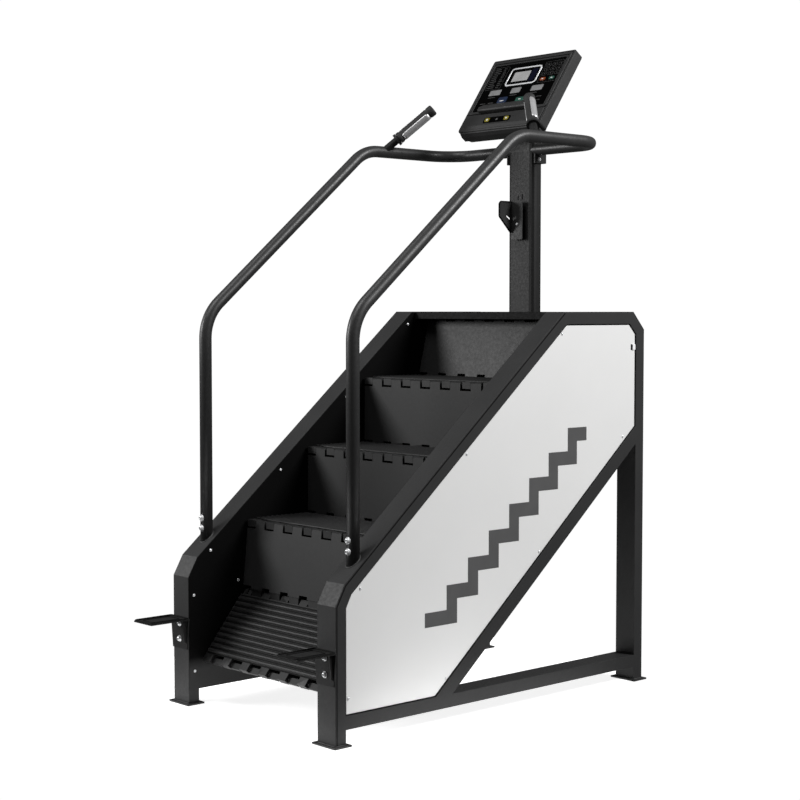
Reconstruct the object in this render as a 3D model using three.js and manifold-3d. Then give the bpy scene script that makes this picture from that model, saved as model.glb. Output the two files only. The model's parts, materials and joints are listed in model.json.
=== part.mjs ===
// Stair climber: two welded side frames, an endless linkage of hinged treads and
// risers between them, a mast with a tilted console and a bent tube handrail.
// Millimetres, +Z up, +X across the machine, +Y from the boarding side to the console side.
// The origin is on the floor at the centre of the footprint.

import * as THREE from "three";
import Module from "manifold-3d";
import { mergeVertices } from "three/addons/utils/BufferGeometryUtils.js";

const wasm = await Module();
wasm.setup();

// ---------- driving dimensions ----------

// All lengths along Y are first measured from the front face of the front legs.
const CENTRE_Y = 611.5;

const HALF_WIDTH = 400;
const TUBE_WIDTH = 80;
const TUBE_DEPTH = 40;
const TUBE_WALL = 3;
const SLOPE_DEG = 40;
const FRAME_LENGTH = 1356;
const FRAME_TOP = 1244;
const FRONT_LEG_TOP = 407;
const SLOPE_START = [35, 469];
const SLOPE_END_Y = 959;
const CHAMFER_START_Y = 1301;
const CHAMFER_END_Z = 1185;
const RAIL_BOTTOM = 47.5;
const RAIL_TOP = 87.5;
const LOWER_SLOPE_AT_REAR = 860.8;
const LOWER_SLOPE_DEPTH = 45;
const FOOT_THICKNESS = 5;
const FOOT_OVERHANG = 12;
const ANCHOR_HOLE = 24;

const SHEET = 2;
const FIT = 0.3;

const PANEL_GAP = 4;
const PANEL_RECESS = 3.5;

const STEP_DEPTH = 250;
const STEP_LEAN = 1.5;
const STEP_GOING = 251.5;
const STEP_RISE = 222.5;
const RISER_LENGTH = Math.hypot(STEP_LEAN, STEP_RISE);
const STEP_HALF_WIDTH = 310;
const FIRST_NOSE = [746, 1005];
const SKIN = 14;
const SLAT_THICKNESS = 10;
const LIP_DROP = 8;
const COMB_PITCH = 94.8;
const COMB_START = -269.4;
const COMB_PLAY = 9;
const ROLLER_RADIUS = 15;
const ROLLER_INNER_X = 287;
const ROLLER_OUTER_X = 297;

const MAST_WIDTH = 122;
const MAST_DEPTH = 51;
const MAST_FRONT = 1171.5;
const MAST_CORNER = 18;
const MAST_WALL = 3;
const CROSS_TUBE_TOP = 1238;

const RAIL_RADIUS = 20;
const RAIL_WALL = 2.5;
const RAIL_X = 360;
const RAIL_POST_Y = 101.5;
const RAIL_ARM_Z = 1797;
const RAIL_REAR_Y = 1193;
const RAIL_KNEE_Z = 1229;
const RAIL_SHOULDER_Y = 777.5;
const RAIL_BEND = 150;
const RAIL_REAR_BEND = 112;

const CONSOLE_TILT = 55;
const CONSOLE_ORIGIN = [1243.4, 2132.5];

const DRIVE_AXIS = [1118.9, 987.3];
const IDLER_AXIS = [174.6, 216.0];
const MOTOR_AXIS = [850, 761];
const PULLEY_X = 352;
const PULLEY_RADIUS = 110;
const PULLEY_WIDTH = 24;
const SHAFT_RADIUS = 20;
const IDLER_RADIUS = 27;
const IDLER_SHAFT_RADIUS = 14;
const MOTOR_PULLEY_RADIUS = 34;
const MOTOR_SHAFT_RADIUS = 12;

// ---------- colours ----------

const FINISH = {
  frame: { color: 0x3b3c3d, roughness: 0.55, metalness: 0.3 },
  panel: { color: 0xe2e2e0, roughness: 0.5, metalness: 0.1 },
  cover: { color: 0x2b2c2d, roughness: 0.6, metalness: 0.2 },
  tread: { color: 0x4a4b4c, roughness: 0.5, metalness: 0.6 },
  riser: { color: 0x454647, roughness: 0.55, metalness: 0.5 },
  steel: { color: 0x9a9c9f, roughness: 0.35, metalness: 0.9 },
  plastic: { color: 0x1c1d1e, roughness: 0.6, metalness: 0 },
  gloss: { color: 0x050506, roughness: 0.15, metalness: 0 },
  chrome: { color: 0xd4d6d8, roughness: 0.15, metalness: 1 },
  rubber: { color: 0x151515, roughness: 0.8, metalness: 0 },
  screen: { color: 0x8e9290, roughness: 0.3, metalness: 0 },
  orange: { color: 0xe07a1f, roughness: 0.4, metalness: 0 },
  green: { color: 0x2f9a6a, roughness: 0.4, metalness: 0 },
  blue: { color: 0x2f5f9a, roughness: 0.4, metalness: 0 },
  yellow: { color: 0xd9c443, roughness: 0.4, metalness: 0 },
};

// ---------- small helpers ----------

const rad = THREE.MathUtils.degToRad;
const SLOPE = Math.tan(rad(SLOPE_DEG));
const SIDES = [-1, 1];
const SIDE_NAME = { "-1": "left", 1: "right" };

function toManifold(geometry) {
  const bare = geometry.index ? geometry.toNonIndexed() : geometry.clone();
  for (const name of Object.keys(bare.attributes)) {
    if (name !== "position") bare.deleteAttribute(name);
  }
  const welded = mergeVertices(bare, 1e-4);
  return new wasm.Manifold(
    new wasm.Mesh({
      numProp: 3,
      vertProperties: new Float32Array(welded.attributes.position.array),
      triVerts: new Uint32Array(welded.index.array),
    }),
  );
}

function toGeometry(manifold) {
  const mesh = manifold.getMesh();
  const geometry = new THREE.BufferGeometry();
  geometry.setAttribute("position", new THREE.BufferAttribute(new Float32Array(mesh.vertProperties), 3));
  geometry.setIndex(new THREE.BufferAttribute(new Uint32Array(mesh.triVerts), 1));
  const flat = geometry.toNonIndexed();
  flat.computeVertexNormals();
  return flat;
}

const join = (pieces) => pieces.slice(1).reduce((sum, piece) => sum.add(piece), pieces[0]);
const cut = (body, tools) => tools.reduce((rest, tool) => rest.subtract(tool), body);

function shapeOf(points) {
  return new THREE.Shape(points.map(([a, b]) => new THREE.Vector2(a, b)));
}

// An outline in the Y-Z plane, swept along X from x0 to x1.
function prism(points, x0, x1) {
  const geometry = new THREE.ExtrudeGeometry(shapeOf(points), { depth: x1 - x0, bevelEnabled: false });
  const axes = new THREE.Matrix4().makeBasis(
    new THREE.Vector3(0, 1, 0),
    new THREE.Vector3(0, 0, 1),
    new THREE.Vector3(1, 0, 0),
  );
  geometry.applyMatrix4(axes);
  geometry.translate(x0, 0, 0);
  return toManifold(geometry);
}

function block(x0, x1, y0, y1, z0, z1) {
  const geometry = new THREE.BoxGeometry(x1 - x0, y1 - y0, z1 - z0);
  geometry.translate((x0 + x1) / 2, (y0 + y1) / 2, (z0 + z1) / 2);
  return toManifold(geometry);
}

// A cylinder between two points.
function rod(radius, from, to, segments = 16) {
  const start = new THREE.Vector3(...from);
  const end = new THREE.Vector3(...to);
  const along = end.clone().sub(start);
  const geometry = new THREE.CylinderGeometry(radius, radius, along.length(), segments);
  const up = new THREE.Vector3(0, 1, 0);
  const turn = new THREE.Quaternion().setFromUnitVectors(up, along.clone().normalize());
  geometry.applyQuaternion(turn);
  const middle = start.add(end).multiplyScalar(0.5);
  geometry.translate(middle.x, middle.y, middle.z);
  return toManifold(geometry);
}

const axle = (radius, [y, z], x0, x1, segments) => rod(radius, [x0, y, z], [x1, y, z], segments);

// Moves every edge of a polygon sideways: a positive distance shrinks it.
function inset(points, distance) {
  const area = points.reduce((sum, [y, z], i) => {
    const [ny, nz] = points[(i + 1) % points.length];
    return sum + y * nz - ny * z;
  }, 0);
  const turn = Math.sign(area) * distance;
  return points.map((point, i) => {
    const before = points[(i + points.length - 1) % points.length];
    const after = points[(i + 1) % points.length];
    const d1 = new THREE.Vector2(point[0] - before[0], point[1] - before[1]).normalize();
    const d2 = new THREE.Vector2(after[0] - point[0], after[1] - point[1]).normalize();
    const n1 = new THREE.Vector2(-d1.y, d1.x);
    const n2 = new THREE.Vector2(-d2.y, d2.x);
    const scale = turn / (1 + n1.dot(n2));
    return [point[0] + (n1.x + n2.x) * scale, point[1] + (n1.y + n2.y) * scale];
  });
}

function roundedRectangle(x0, x1, y0, y1, radius, steps = 3) {
  const corners = [
    [x1 - radius, y1 - radius, 0],
    [x0 + radius, y1 - radius, 90],
    [x0 + radius, y0 + radius, 180],
    [x1 - radius, y0 + radius, 270],
  ];
  return corners.flatMap(([cx, cy, start]) =>
    Array.from({ length: steps + 1 }, (_, i) => {
      const angle = rad(start + (90 * i) / steps);
      return [cx + radius * Math.cos(angle), cy + radius * Math.sin(angle)];
    }),
  );
}

// A path of straight runs and round bends, one step per run and a few per bend.
class BentPath extends THREE.Curve {
  constructor(corners, radii, bendSteps) {
    super();
    this.points = [corners[0]];
    corners.slice(1, -1).forEach((corner, i) => {
      const back = corners[i].clone().sub(corner).normalize();
      const ahead = corners[i + 2].clone().sub(corner).normalize();
      const half = back.angleTo(ahead) / 2;
      const reach = radii[i] / Math.tan(half);
      const middle = back.clone().add(ahead).normalize();
      const centre = corner.clone().addScaledVector(middle, radii[i] / Math.sin(half));
      const from = corner.clone().addScaledVector(back, reach).sub(centre);
      const axis = from.clone().cross(middle.clone().negate()).normalize();
      const sweep = Math.PI - 2 * half;
      for (let k = 0; k <= bendSteps; k += 1) {
        this.points.push(from.clone().applyAxisAngle(axis, (sweep * k) / bendSteps).add(centre));
      }
    });
    this.points.push(corners[corners.length - 1]);
  }

  get steps() {
    return this.points.length - 1;
  }

  getPointAt(u) {
    return this.points[Math.round(u * this.steps)].clone();
  }

  getTangentAt(u) {
    const i = Math.round(u * this.steps);
    const before = this.points[Math.max(i - 1, 0)];
    const after = this.points[Math.min(i + 1, this.steps)];
    const back = this.points[i].clone().sub(before).normalize();
    const ahead = after.clone().sub(this.points[i]).normalize();
    return back.add(ahead).normalize();
  }
}

function circle(radius, segments) {
  return Array.from({ length: segments }, (_, i) => {
    const angle = (2 * Math.PI * i) / segments;
    return [radius * Math.cos(angle), radius * Math.sin(angle)];
  });
}

function bentTube(path, radius, wall, segments) {
  const ring = shapeOf(circle(radius, segments));
  ring.holes.push(shapeOf(circle(radius - wall, segments).reverse()));
  return new THREE.ExtrudeGeometry(ring, { steps: path.steps, bevelEnabled: false, extrudePath: path });
}

// ---------- the node list ----------

const part = new THREE.Group();
part.name = "stair_climber";

function addGeometry(name, geometry, finish) {
  geometry.translate(0, -CENTRE_Y, 0);
  const mesh = new THREE.Mesh(geometry, new THREE.MeshStandardMaterial(FINISH[finish]));
  mesh.name = name;
  part.add(mesh);
}

const add = (name, manifold, finish) => addGeometry(name, toGeometry(manifold), finish);

// ---------- side frames ----------

const lowerSlopeTop = (y) => LOWER_SLOPE_AT_REAR + SLOPE * (y - (FRAME_LENGTH - TUBE_DEPTH));
const lowerSlopeBottom = (y) => lowerSlopeTop(y) - LOWER_SLOPE_DEPTH / Math.cos(rad(SLOPE_DEG));
const yOnLowerSlope = (z, drop) =>
  FRAME_LENGTH - TUBE_DEPTH + (z + drop / Math.cos(rad(SLOPE_DEG)) - LOWER_SLOPE_AT_REAR) / SLOPE;

const REAR_POST = FRAME_LENGTH - TUBE_DEPTH;

const frameOutline = [
  [0, FOOT_THICKNESS],
  [TUBE_DEPTH, FOOT_THICKNESS],
  [TUBE_DEPTH, RAIL_BOTTOM],
  [REAR_POST, RAIL_BOTTOM],
  [REAR_POST, FOOT_THICKNESS],
  [FRAME_LENGTH, FOOT_THICKNESS],
  [FRAME_LENGTH, CHAMFER_END_Z],
  [CHAMFER_START_Y, FRAME_TOP],
  [SLOPE_END_Y, FRAME_TOP],
  SLOPE_START,
  [0, FRONT_LEG_TOP],
];

const panelWindow = [
  [TUBE_DEPTH, RAIL_TOP],
  [yOnLowerSlope(RAIL_TOP, 0), RAIL_TOP],
  [REAR_POST, LOWER_SLOPE_AT_REAR],
  [REAR_POST, 1170],
  [1284, FRAME_TOP - TUBE_DEPTH],
  [973.6, FRAME_TOP - TUBE_DEPTH],
  [60.7, 438.4],
  [TUBE_DEPTH, 400],
];

const openTriangle = [
  [yOnLowerSlope(RAIL_TOP, LOWER_SLOPE_DEPTH), RAIL_TOP],
  [REAR_POST, RAIL_TOP],
  [REAR_POST, lowerSlopeBottom(REAR_POST)],
];

function footPlate(innerX, outerX, y0) {
  const plate = block(
    innerX - FOOT_OVERHANG,
    outerX + FOOT_OVERHANG,
    y0 - FOOT_OVERHANG,
    y0 + TUBE_DEPTH + FOOT_OVERHANG,
    0,
    FOOT_THICKNESS + 0.5,
  );
  const centre = [(innerX + outerX) / 2, y0 + TUBE_DEPTH / 2];
  const hole = rod(ANCHOR_HOLE / 2, [...centre, -1], [...centre, FOOT_THICKNESS + 1], 20);
  return { plate, hole };
}

function sideFrame(side) {
  const [x0, x1] = [HALF_WIDTH - TUBE_WIDTH, HALF_WIDTH];
  const outer = prism(frameOutline, x0, x1);
  const windows = [panelWindow, openTriangle];
  const solidFrame = cut(outer, windows.map((w) => prism(w, x0 - 1, x1 + 1)));
  const hollow = cut(
    prism(inset(frameOutline, TUBE_WALL), x0 + TUBE_WALL, x1 - TUBE_WALL),
    windows.map((w) => prism(inset(w, -TUBE_WALL), x0, x1)),
  );
  const drains = [0, REAR_POST].map((y) =>
    block(x0 + 8, x1 - 8, y + 8, y + TUBE_DEPTH - 8, FOOT_THICKNESS - 1, FOOT_THICKNESS + 6),
  );
  const feet = [0, REAR_POST].map((y) => footPlate(x0, x1, y));
  let frame = join([solidFrame, ...feet.map((f) => f.plate)]);
  frame = cut(frame, [hollow, ...drains, ...feet.map((f) => f.hole)]);
  return side > 0 ? frame : frame.mirror([1, 0, 0]);
}

for (const side of SIDES) {
  add(`frame_${SIDE_NAME[side]}`, sideFrame(side), "frame");
}

// ---------- panels and covers ----------

function mirrored(manifold, side) {
  return side > 0 ? manifold : manifold.mirror([1, 0, 0]);
}

const shaftHoles = [
  { at: DRIVE_AXIS, radius: 30 },
  { at: IDLER_AXIS, radius: 20 },
  { at: MOTOR_AXIS, radius: 20 },
];

for (const side of SIDES) {
  const outerX = HALF_WIDTH - PANEL_RECESS;
  const outerPanel = prism(inset(panelWindow, PANEL_GAP), outerX - SHEET, outerX);
  add(`side_panel_${SIDE_NAME[side]}`, mirrored(outerPanel, side), "panel");

  const innerX = HALF_WIDTH - TUBE_WIDTH - FIT;
  const outline = [
    [2, RAIL_BOTTOM + 2],
    [yOnLowerSlope(RAIL_TOP, LOWER_SLOPE_DEPTH), RAIL_BOTTOM + 2],
    [yOnLowerSlope(RAIL_TOP, LOWER_SLOPE_DEPTH), RAIL_TOP],
    [FRAME_LENGTH - 4, lowerSlopeBottom(FRAME_LENGTH - 4)],
    [FRAME_LENGTH - 4, CHAMFER_END_Z - 1],
    [CHAMFER_START_Y - 1, FRAME_TOP - 2],
    [SLOPE_END_Y + 1, FRAME_TOP - 2],
    [SLOPE_START[0] + 1.5, SLOPE_START[1] - 1],
    [2, FRONT_LEG_TOP],
  ];
  const innerPanel = cut(
    prism(outline, innerX - SHEET, innerX),
    shaftHoles.map(({ at, radius }) => axle(radius, at, innerX - 10, innerX + 10, 20)),
  );
  add(`inner_panel_${SIDE_NAME[side]}`, mirrored(innerPanel, side), "cover");
}

const COVER_X = HALF_WIDTH - TUBE_WIDTH - SHEET - 2 * FIT;
const COVER_TOP = FRAME_TOP - 0.5;
const LIP_BOTTOM = 1219;
const LIP_FRONT = 973;

const topCoverLine = [
  [LIP_FRONT, LIP_BOTTOM],
  [LIP_FRONT + SHEET, LIP_BOTTOM],
  [LIP_FRONT + SHEET, COVER_TOP - SHEET],
  [CHAMFER_START_Y - 2, COVER_TOP - SHEET],
  [FRAME_LENGTH - 4 - SHEET, CHAMFER_END_Z - 2],
  [FRAME_LENGTH - 4 - SHEET, CHAMFER_END_Z - 20],
  [FRAME_LENGTH - 4, CHAMFER_END_Z - 20],
  [FRAME_LENGTH - 4, CHAMFER_END_Z - 1],
  [CHAMFER_START_Y - 1, COVER_TOP],
  [LIP_FRONT, COVER_TOP],
];
const mastHole = block(
  -MAST_WIDTH / 2 - 1,
  MAST_WIDTH / 2 + 1,
  MAST_FRONT - 1,
  MAST_FRONT + MAST_DEPTH + 1,
  COVER_TOP - 10,
  COVER_TOP + 10,
);
add("top_cover", prism(topCoverLine, -COVER_X, COVER_X).subtract(mastHole), "cover");

const REAR_COVER_BOTTOM = lowerSlopeBottom(FRAME_LENGTH) + 4;
const vents = Array.from({ length: 6 }, (_, i) => {
  const z = 900 + 22 * i;
  return block(-120, 120, FRAME_LENGTH - 20, FRAME_LENGTH + 5, z, z + 8);
});
const inletHole = block(-275, -225, FRAME_LENGTH - 20, FRAME_LENGTH + 5, 862, 892);
const rearCover = block(
  -COVER_X,
  COVER_X,
  FRAME_LENGTH - 4 - SHEET,
  FRAME_LENGTH - 4,
  REAR_COVER_BOTTOM,
  CHAMFER_END_Z - 20 - FIT,
);
add("rear_cover", cut(rearCover, [...vents, inletHole]), "cover");

const BELLY_LIFT = 10;
const bellyFrontY = yOnLowerSlope(RAIL_TOP, LOWER_SLOPE_DEPTH);
const bellyLine = [
  [bellyFrontY, RAIL_TOP + BELLY_LIFT],
  [FRAME_LENGTH - 8, lowerSlopeBottom(FRAME_LENGTH - 8) + BELLY_LIFT],
  [FRAME_LENGTH - 8, lowerSlopeBottom(FRAME_LENGTH - 8) + BELLY_LIFT + SHEET],
  [bellyFrontY, RAIL_TOP + BELLY_LIFT + SHEET],
];
add("belly_cover", prism(bellyLine, -COVER_X, COVER_X), "cover");

// ---------- cross tubes ----------

function crossTube(y0, y1, z0, z1) {
  const x = COVER_X;
  const tube = block(-x, x, y0, y1, z0, z1);
  const [wy0, wy1, wz0, wz1] = [y0 + TUBE_WALL, y1 - TUBE_WALL, z0 + TUBE_WALL, z1 - TUBE_WALL];
  return tube.subtract(block(-x - 1, x + 1, wy0, wy1, wz0, wz1));
}

const MAST_CENTRE_Y = MAST_FRONT + MAST_DEPTH / 2;
const upperTubeY = [MAST_CENTRE_Y - TUBE_WIDTH / 2, MAST_CENTRE_Y + TUBE_WIDTH / 2];
add("cross_tube_upper", crossTube(...upperTubeY, CROSS_TUBE_TOP - TUBE_DEPTH, CROSS_TUBE_TOP), "frame");
add("cross_tube_lower", crossTube(330, 410, 95, 135), "frame");

// ---------- the stair linkage ----------

const noseAxle = (k) => [FIRST_NOSE[0] - STEP_GOING * (k - 1), FIRST_NOSE[1] - STEP_RISE * (k - 1)];
const valleyAxle = (k) => {
  const [y, z] = noseAxle(k + 1);
  return [y + STEP_DEPTH, z];
};
const moveAlong = ([y, z], degrees, distance) => [
  y + distance * Math.cos(rad(degrees)),
  z + distance * Math.sin(rad(degrees)),
];
const heading = (from, to) => THREE.MathUtils.radToDeg(Math.atan2(to[1] - from[1], to[0] - from[0]));

const CLIMB_DEG = THREE.MathUtils.radToDeg(Math.atan2(STEP_RISE, STEP_GOING));
const LAST_RISER_LEAN = 5.5;
const LAST_TREAD_PITCH = 51.3;
const TOP_RISER_LEAN = 13.4;

const nose = { 1: noseAxle(1), 2: noseAxle(2), 3: noseAxle(3) };
const valley = { 0: valleyAxle(0), 1: valleyAxle(1), 2: valleyAxle(2) };
nose[0] = moveAlong(valley[0], 90 - TOP_RISER_LEAN, RISER_LENGTH);
valley[3] = moveAlong(nose[3], 270 - LAST_RISER_LEAN, RISER_LENGTH);
nose[4] = moveAlong(valley[3], 180 + LAST_TREAD_PITCH, STEP_DEPTH);
valley[4] = moveAlong(nose[4], 1.6, RISER_LENGTH);
nose[5] = moveAlong(valley[4], CLIMB_DEG, STEP_DEPTH);
valley[5] = moveAlong(nose[5], CLIMB_DEG, RISER_LENGTH);
nose[6] = moveAlong(valley[5], CLIMB_DEG, STEP_DEPTH);
valley[6] = moveAlong(nose[6], CLIMB_DEG, RISER_LENGTH);

// At the top the last three slats bulge back round the drive shaft as a trapezoid.
const topSpan = Math.hypot(valley[6][0] - nose[0][0], valley[6][1] - nose[0][1]);
const topHeading = heading(nose[0], valley[6]);
const bulge = THREE.MathUtils.radToDeg(Math.acos((topSpan - RISER_LENGTH) / 2 / STEP_DEPTH));
valley[7] = moveAlong(nose[0], topHeading + bulge, STEP_DEPTH);
nose[7] = moveAlong(valley[6], topHeading + 180 - bulge, STEP_DEPTH);
nose[8] = nose[0];

// A point in the Y-Z plane from slat coordinates: a runs from the nose axle to the
// valley axle, b points out of the stair.
function slatFrame(from, to, outward) {
  const angle = rad(heading(from, to));
  const a = [Math.cos(angle), Math.sin(angle)];
  const b = outward > 0 ? [-a[1], a[0]] : [a[1], -a[0]];
  return (points) => points.map(([u, v]) => [from[0] + u * a[0] + v * b[0], from[1] + u * a[1] + v * b[1]]);
}

function combIntervals(own) {
  const riserTabs = Array.from({ length: 7 }, (_, i) => {
    const start = COMB_START + COMB_PITCH * i;
    return [start, Math.min(start + COMB_PITCH / 2, STEP_HALF_WIDTH)];
  });
  if (own === "riser") return riserTabs.map(([x0, x1]) => [x0 + FIT, x1 - FIT]);
  const starts = [-STEP_HALF_WIDTH - COMB_PLAY, ...riserTabs.map(([, x1]) => x1)];
  const ends = riserTabs.map(([x0]) => x0);
  return ends.map((x1, i) => [starts[i] + COMB_PLAY, x1 - FIT]);
}

const TREAD_TABS = combIntervals("tread");
const RISER_TABS = combIntervals("riser");
const HINGE_GAP = 0.75;
const TAB_REACH = 8;
const NOTCH = 15.5;
const RISER_EDGE = 14.8;
const SLOT_HEIGHT = 9;

function tread(index) {
  const [from, to] = [nose[index], valley[index - 1]];
  const place = slatFrame(from, to, 1);
  const back = STEP_DEPTH - SKIN - HINGE_GAP;
  const inner = SKIN - SLAT_THICKNESS;
  const plate = [[NOTCH, inner], [back, inner], [back, SKIN], [NOTCH, SKIN]];
  const lip = [
    [-SKIN, SKIN],
    [-SKIN, -LIP_DROP],
    [-SKIN + 9, -LIP_DROP],
    [-SKIN + 9, inner],
    [NOTCH + 1, inner],
    [NOTCH + 1, SKIN],
  ];
  const knuckle = [
    [back - 12, inner + 1],
    [back - 12, -TAB_REACH],
    [STEP_DEPTH + TAB_REACH, -TAB_REACH],
    [STEP_DEPTH + TAB_REACH, TAB_REACH],
    [back - 1, TAB_REACH],
  ];
  const pieces = [prism(place(plate), -STEP_HALF_WIDTH, STEP_HALF_WIDTH)];
  for (const [x0, x1] of TREAD_TABS) {
    pieces.push(prism(place(lip), x0, x1));
    pieces.push(prism(place(knuckle), x0, x1));
  }
  // Two end brackets carry a pair of rollers each: one on the valley axle, one ahead of it.
  const ahead = [STEP_DEPTH - 50.3, -44.5];
  const bracket = [
    [STEP_DEPTH - 90, inner + 1],
    [ahead[0] - 10, ahead[1] - 6],
    [ahead[0] + 8, ahead[1] - 10],
    [STEP_DEPTH + 4, -6],
    [back - 2, inner + 1],
  ];
  for (const side of SIDES) {
    const [x0, x1] = [side * (ROLLER_INNER_X - 6), side * (ROLLER_INNER_X + 0.5)].sort((p, q) => p - q);
    const [r0, r1] = [side * ROLLER_INNER_X, side * ROLLER_OUTER_X].sort((p, q) => p - q);
    pieces.push(prism(place(bracket), x0, x1));
    for (const point of [[STEP_DEPTH, 0], ahead]) {
      pieces.push(axle(ROLLER_RADIUS - 0.5, place([point])[0], r0, r1, 8));
    }
  }
  return join(pieces);
}

// At the lower bend the crown is trimmed back behind the lip of the last tread.
function crownTrim() {
  const place = slatFrame(nose[4], valley[3], 1);
  const above = [[-60, 3], [60, 3], [60, 60], [-60, 60]];
  const before = [[-60, -60], [-SKIN + 0.5, -60], [-SKIN + 0.5, 60], [-60, 60]];
  return [above, before].map((region) => prism(place(region), -STEP_HALF_WIDTH, STEP_HALF_WIDTH));
}

function riser(index) {
  const [from, to] = [nose[index], valley[index]];
  const place = slatFrame(from, to, -1);
  const inner = SKIN - SLAT_THICKNESS;
  const foot = RISER_LENGTH - SKIN - HINGE_GAP;
  const plate = [[RISER_EDGE, inner], [foot, inner], [foot, SKIN], [RISER_EDGE, SKIN]];
  const crown = [
    [-SKIN + 4, SKIN],
    [-SKIN, SKIN - 4],
    [-SKIN, -3],
    [-8, -LIP_DROP],
    [0, -LIP_DROP],
    [RISER_EDGE + 1, inner],
    [RISER_EDGE + 1, SKIN],
  ];
  const knuckle = [
    [foot - 12, inner + 1],
    [foot - 12, -TAB_REACH],
    [RISER_LENGTH + TAB_REACH, -TAB_REACH],
    [RISER_LENGTH + TAB_REACH, TAB_REACH],
    [foot - 1, TAB_REACH],
  ];
  const slot = [
    [foot - SLOT_HEIGHT, inner - 1],
    [foot + 1, inner - 1],
    [foot + 1, SKIN + 1],
    [foot - SLOT_HEIGHT, SKIN + 1],
  ];
  const plain = prism(place(plate), -STEP_HALF_WIDTH, STEP_HALF_WIDTH);
  const pieces = [cut(plain, TREAD_TABS.map(([x0, x1]) => prism(place(slot), x0, x1)))];
  for (const [x0, x1] of RISER_TABS) {
    pieces.push(cut(prism(place(crown), x0, x1), index === 4 ? crownTrim() : []));
    pieces.push(prism(place(knuckle), x0, x1));
  }
  return join(pieces);
}

for (let k = 1; k <= 8; k += 1) {
  add(`tread_${k}`, tread(k), "tread");
}
for (let k = 0; k <= 7; k += 1) {
  add(`riser_${k}`, riser(k), "riser");
}

// ---------- guide rails ----------

const climb = [Math.cos(rad(CLIMB_DEG)), Math.sin(rad(CLIMB_DEG))];
const climbNormal = [-climb[1], climb[0]];
const RAIL_BAR_HEIGHT = 28;

function alongClimb(origin, distance, lift) {
  return [
    origin[0] + climb[0] * distance + climbNormal[0] * lift,
    origin[1] + climb[1] * distance + climbNormal[1] * lift,
  ];
}

for (const side of SIDES) {
  const top = -(ROLLER_RADIUS + 0.3);
  const bar = [
    alongClimb(valley[2], -80, top),
    alongClimb(valley[0], 20, top),
    alongClimb(valley[0], 20, top - RAIL_BAR_HEIGHT),
    alongClimb(valley[2], -80, top - RAIL_BAR_HEIGHT),
  ];
  const rail = prism(bar, ROLLER_INNER_X + 0.8, COVER_X - 1);
  const hanger = prism(
    [
      alongClimb(valley[1], -30, top - RAIL_BAR_HEIGHT + 1),
      alongClimb(valley[1], 30, top - RAIL_BAR_HEIGHT + 1),
      alongClimb(valley[1], 30, top - RAIL_BAR_HEIGHT - 30),
      alongClimb(valley[1], -30, top - RAIL_BAR_HEIGHT - 30),
    ],
    COVER_X - 6,
    COVER_X - 1,
  );
  add(`guide_rail_${SIDE_NAME[side]}`, mirrored(rail.add(hanger), side), "steel");
}

// ---------- drive shaft, idler, motor and belt ----------

const SPIDER_ARM = 34;
const SPIDER_X = 225;
const seatRadius = Math.hypot(STEP_DEPTH, RISER_LENGTH) / 2;

function spider(x0, x1) {
  const hub = axle(46, DRIVE_AXIS, x0, x1, 20);
  const arms = [valley[7], nose[7]].flatMap((seat) => {
    const angle = heading(DRIVE_AXIS, seat);
    return [angle, angle + 180];
  });
  const reach = seatRadius - 40;
  const bars = arms.map((angle) => {
    const across = rad(angle + 90);
    const side = [(Math.cos(across) * SPIDER_ARM) / 2, (Math.sin(across) * SPIDER_ARM) / 2];
    const tip = moveAlong(DRIVE_AXIS, angle, reach);
    const corner = (point, sign) => [point[0] + side[0] * sign, point[1] + side[1] * sign];
    return prism([corner(DRIVE_AXIS, -1), corner(tip, -1), corner(tip, 1), corner(DRIVE_AXIS, 1)], x0, x1);
  });
  return join([hub, ...bars]);
}

const driveShaft = join([
  axle(SHAFT_RADIUS, DRIVE_AXIS, -PULLEY_X + 4, PULLEY_X + PULLEY_WIDTH, 20),
  spider(-SPIDER_X - 6, -SPIDER_X + 6),
  spider(SPIDER_X - 6, SPIDER_X + 6),
  axle(PULLEY_RADIUS, DRIVE_AXIS, PULLEY_X, PULLEY_X + PULLEY_WIDTH, 40),
]);
add("drive_shaft", driveShaft, "steel");

for (const side of SIDES) {
  const x = HALF_WIDTH - TUBE_WIDTH + FIT;
  const flange = join([axle(52, DRIVE_AXIS, x, x + 8, 24), axle(34, DRIVE_AXIS, x + 7, x + 26, 24)]);
  const bearing = flange.subtract(axle(SHAFT_RADIUS + FIT, DRIVE_AXIS, x - 1, x + 30, 20));
  add(`bearing_${SIDE_NAME[side]}`, mirrored(bearing, side), "steel");
}

const idler = join([
  axle(IDLER_SHAFT_RADIUS, IDLER_AXIS, -HALF_WIDTH + 60, HALF_WIDTH - 60, 16),
  axle(IDLER_RADIUS, IDLER_AXIS, -240, -180, 20),
  axle(IDLER_RADIUS, IDLER_AXIS, 180, 240, 20),
]);
add("idler_shaft", idler, "steel");

const motorShell = join([
  axle(55, MOTOR_AXIS, 20, 250, 28),
  axle(44, MOTOR_AXIS, 250, 262, 28),
  block(60, 210, MOTOR_AXIS[0] - 30, MOTOR_AXIS[0] + 30, MOTOR_AXIS[1] - 60, MOTOR_AXIS[1] - 40),
  axle(MOTOR_SHAFT_RADIUS, MOTOR_AXIS, 260, PULLEY_X + PULLEY_WIDTH + 4, 16),
]);
add("drive_motor", motorShell, "plastic");
const motorPulley = axle(MOTOR_PULLEY_RADIUS, MOTOR_AXIS, PULLEY_X, PULLEY_X + PULLEY_WIDTH, 28).subtract(
  axle(MOTOR_SHAFT_RADIUS + FIT, MOTOR_AXIS, PULLEY_X - 5, PULLEY_X + PULLEY_WIDTH + 5, 16),
);
add("motor_pulley", motorPulley, "steel");

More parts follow.
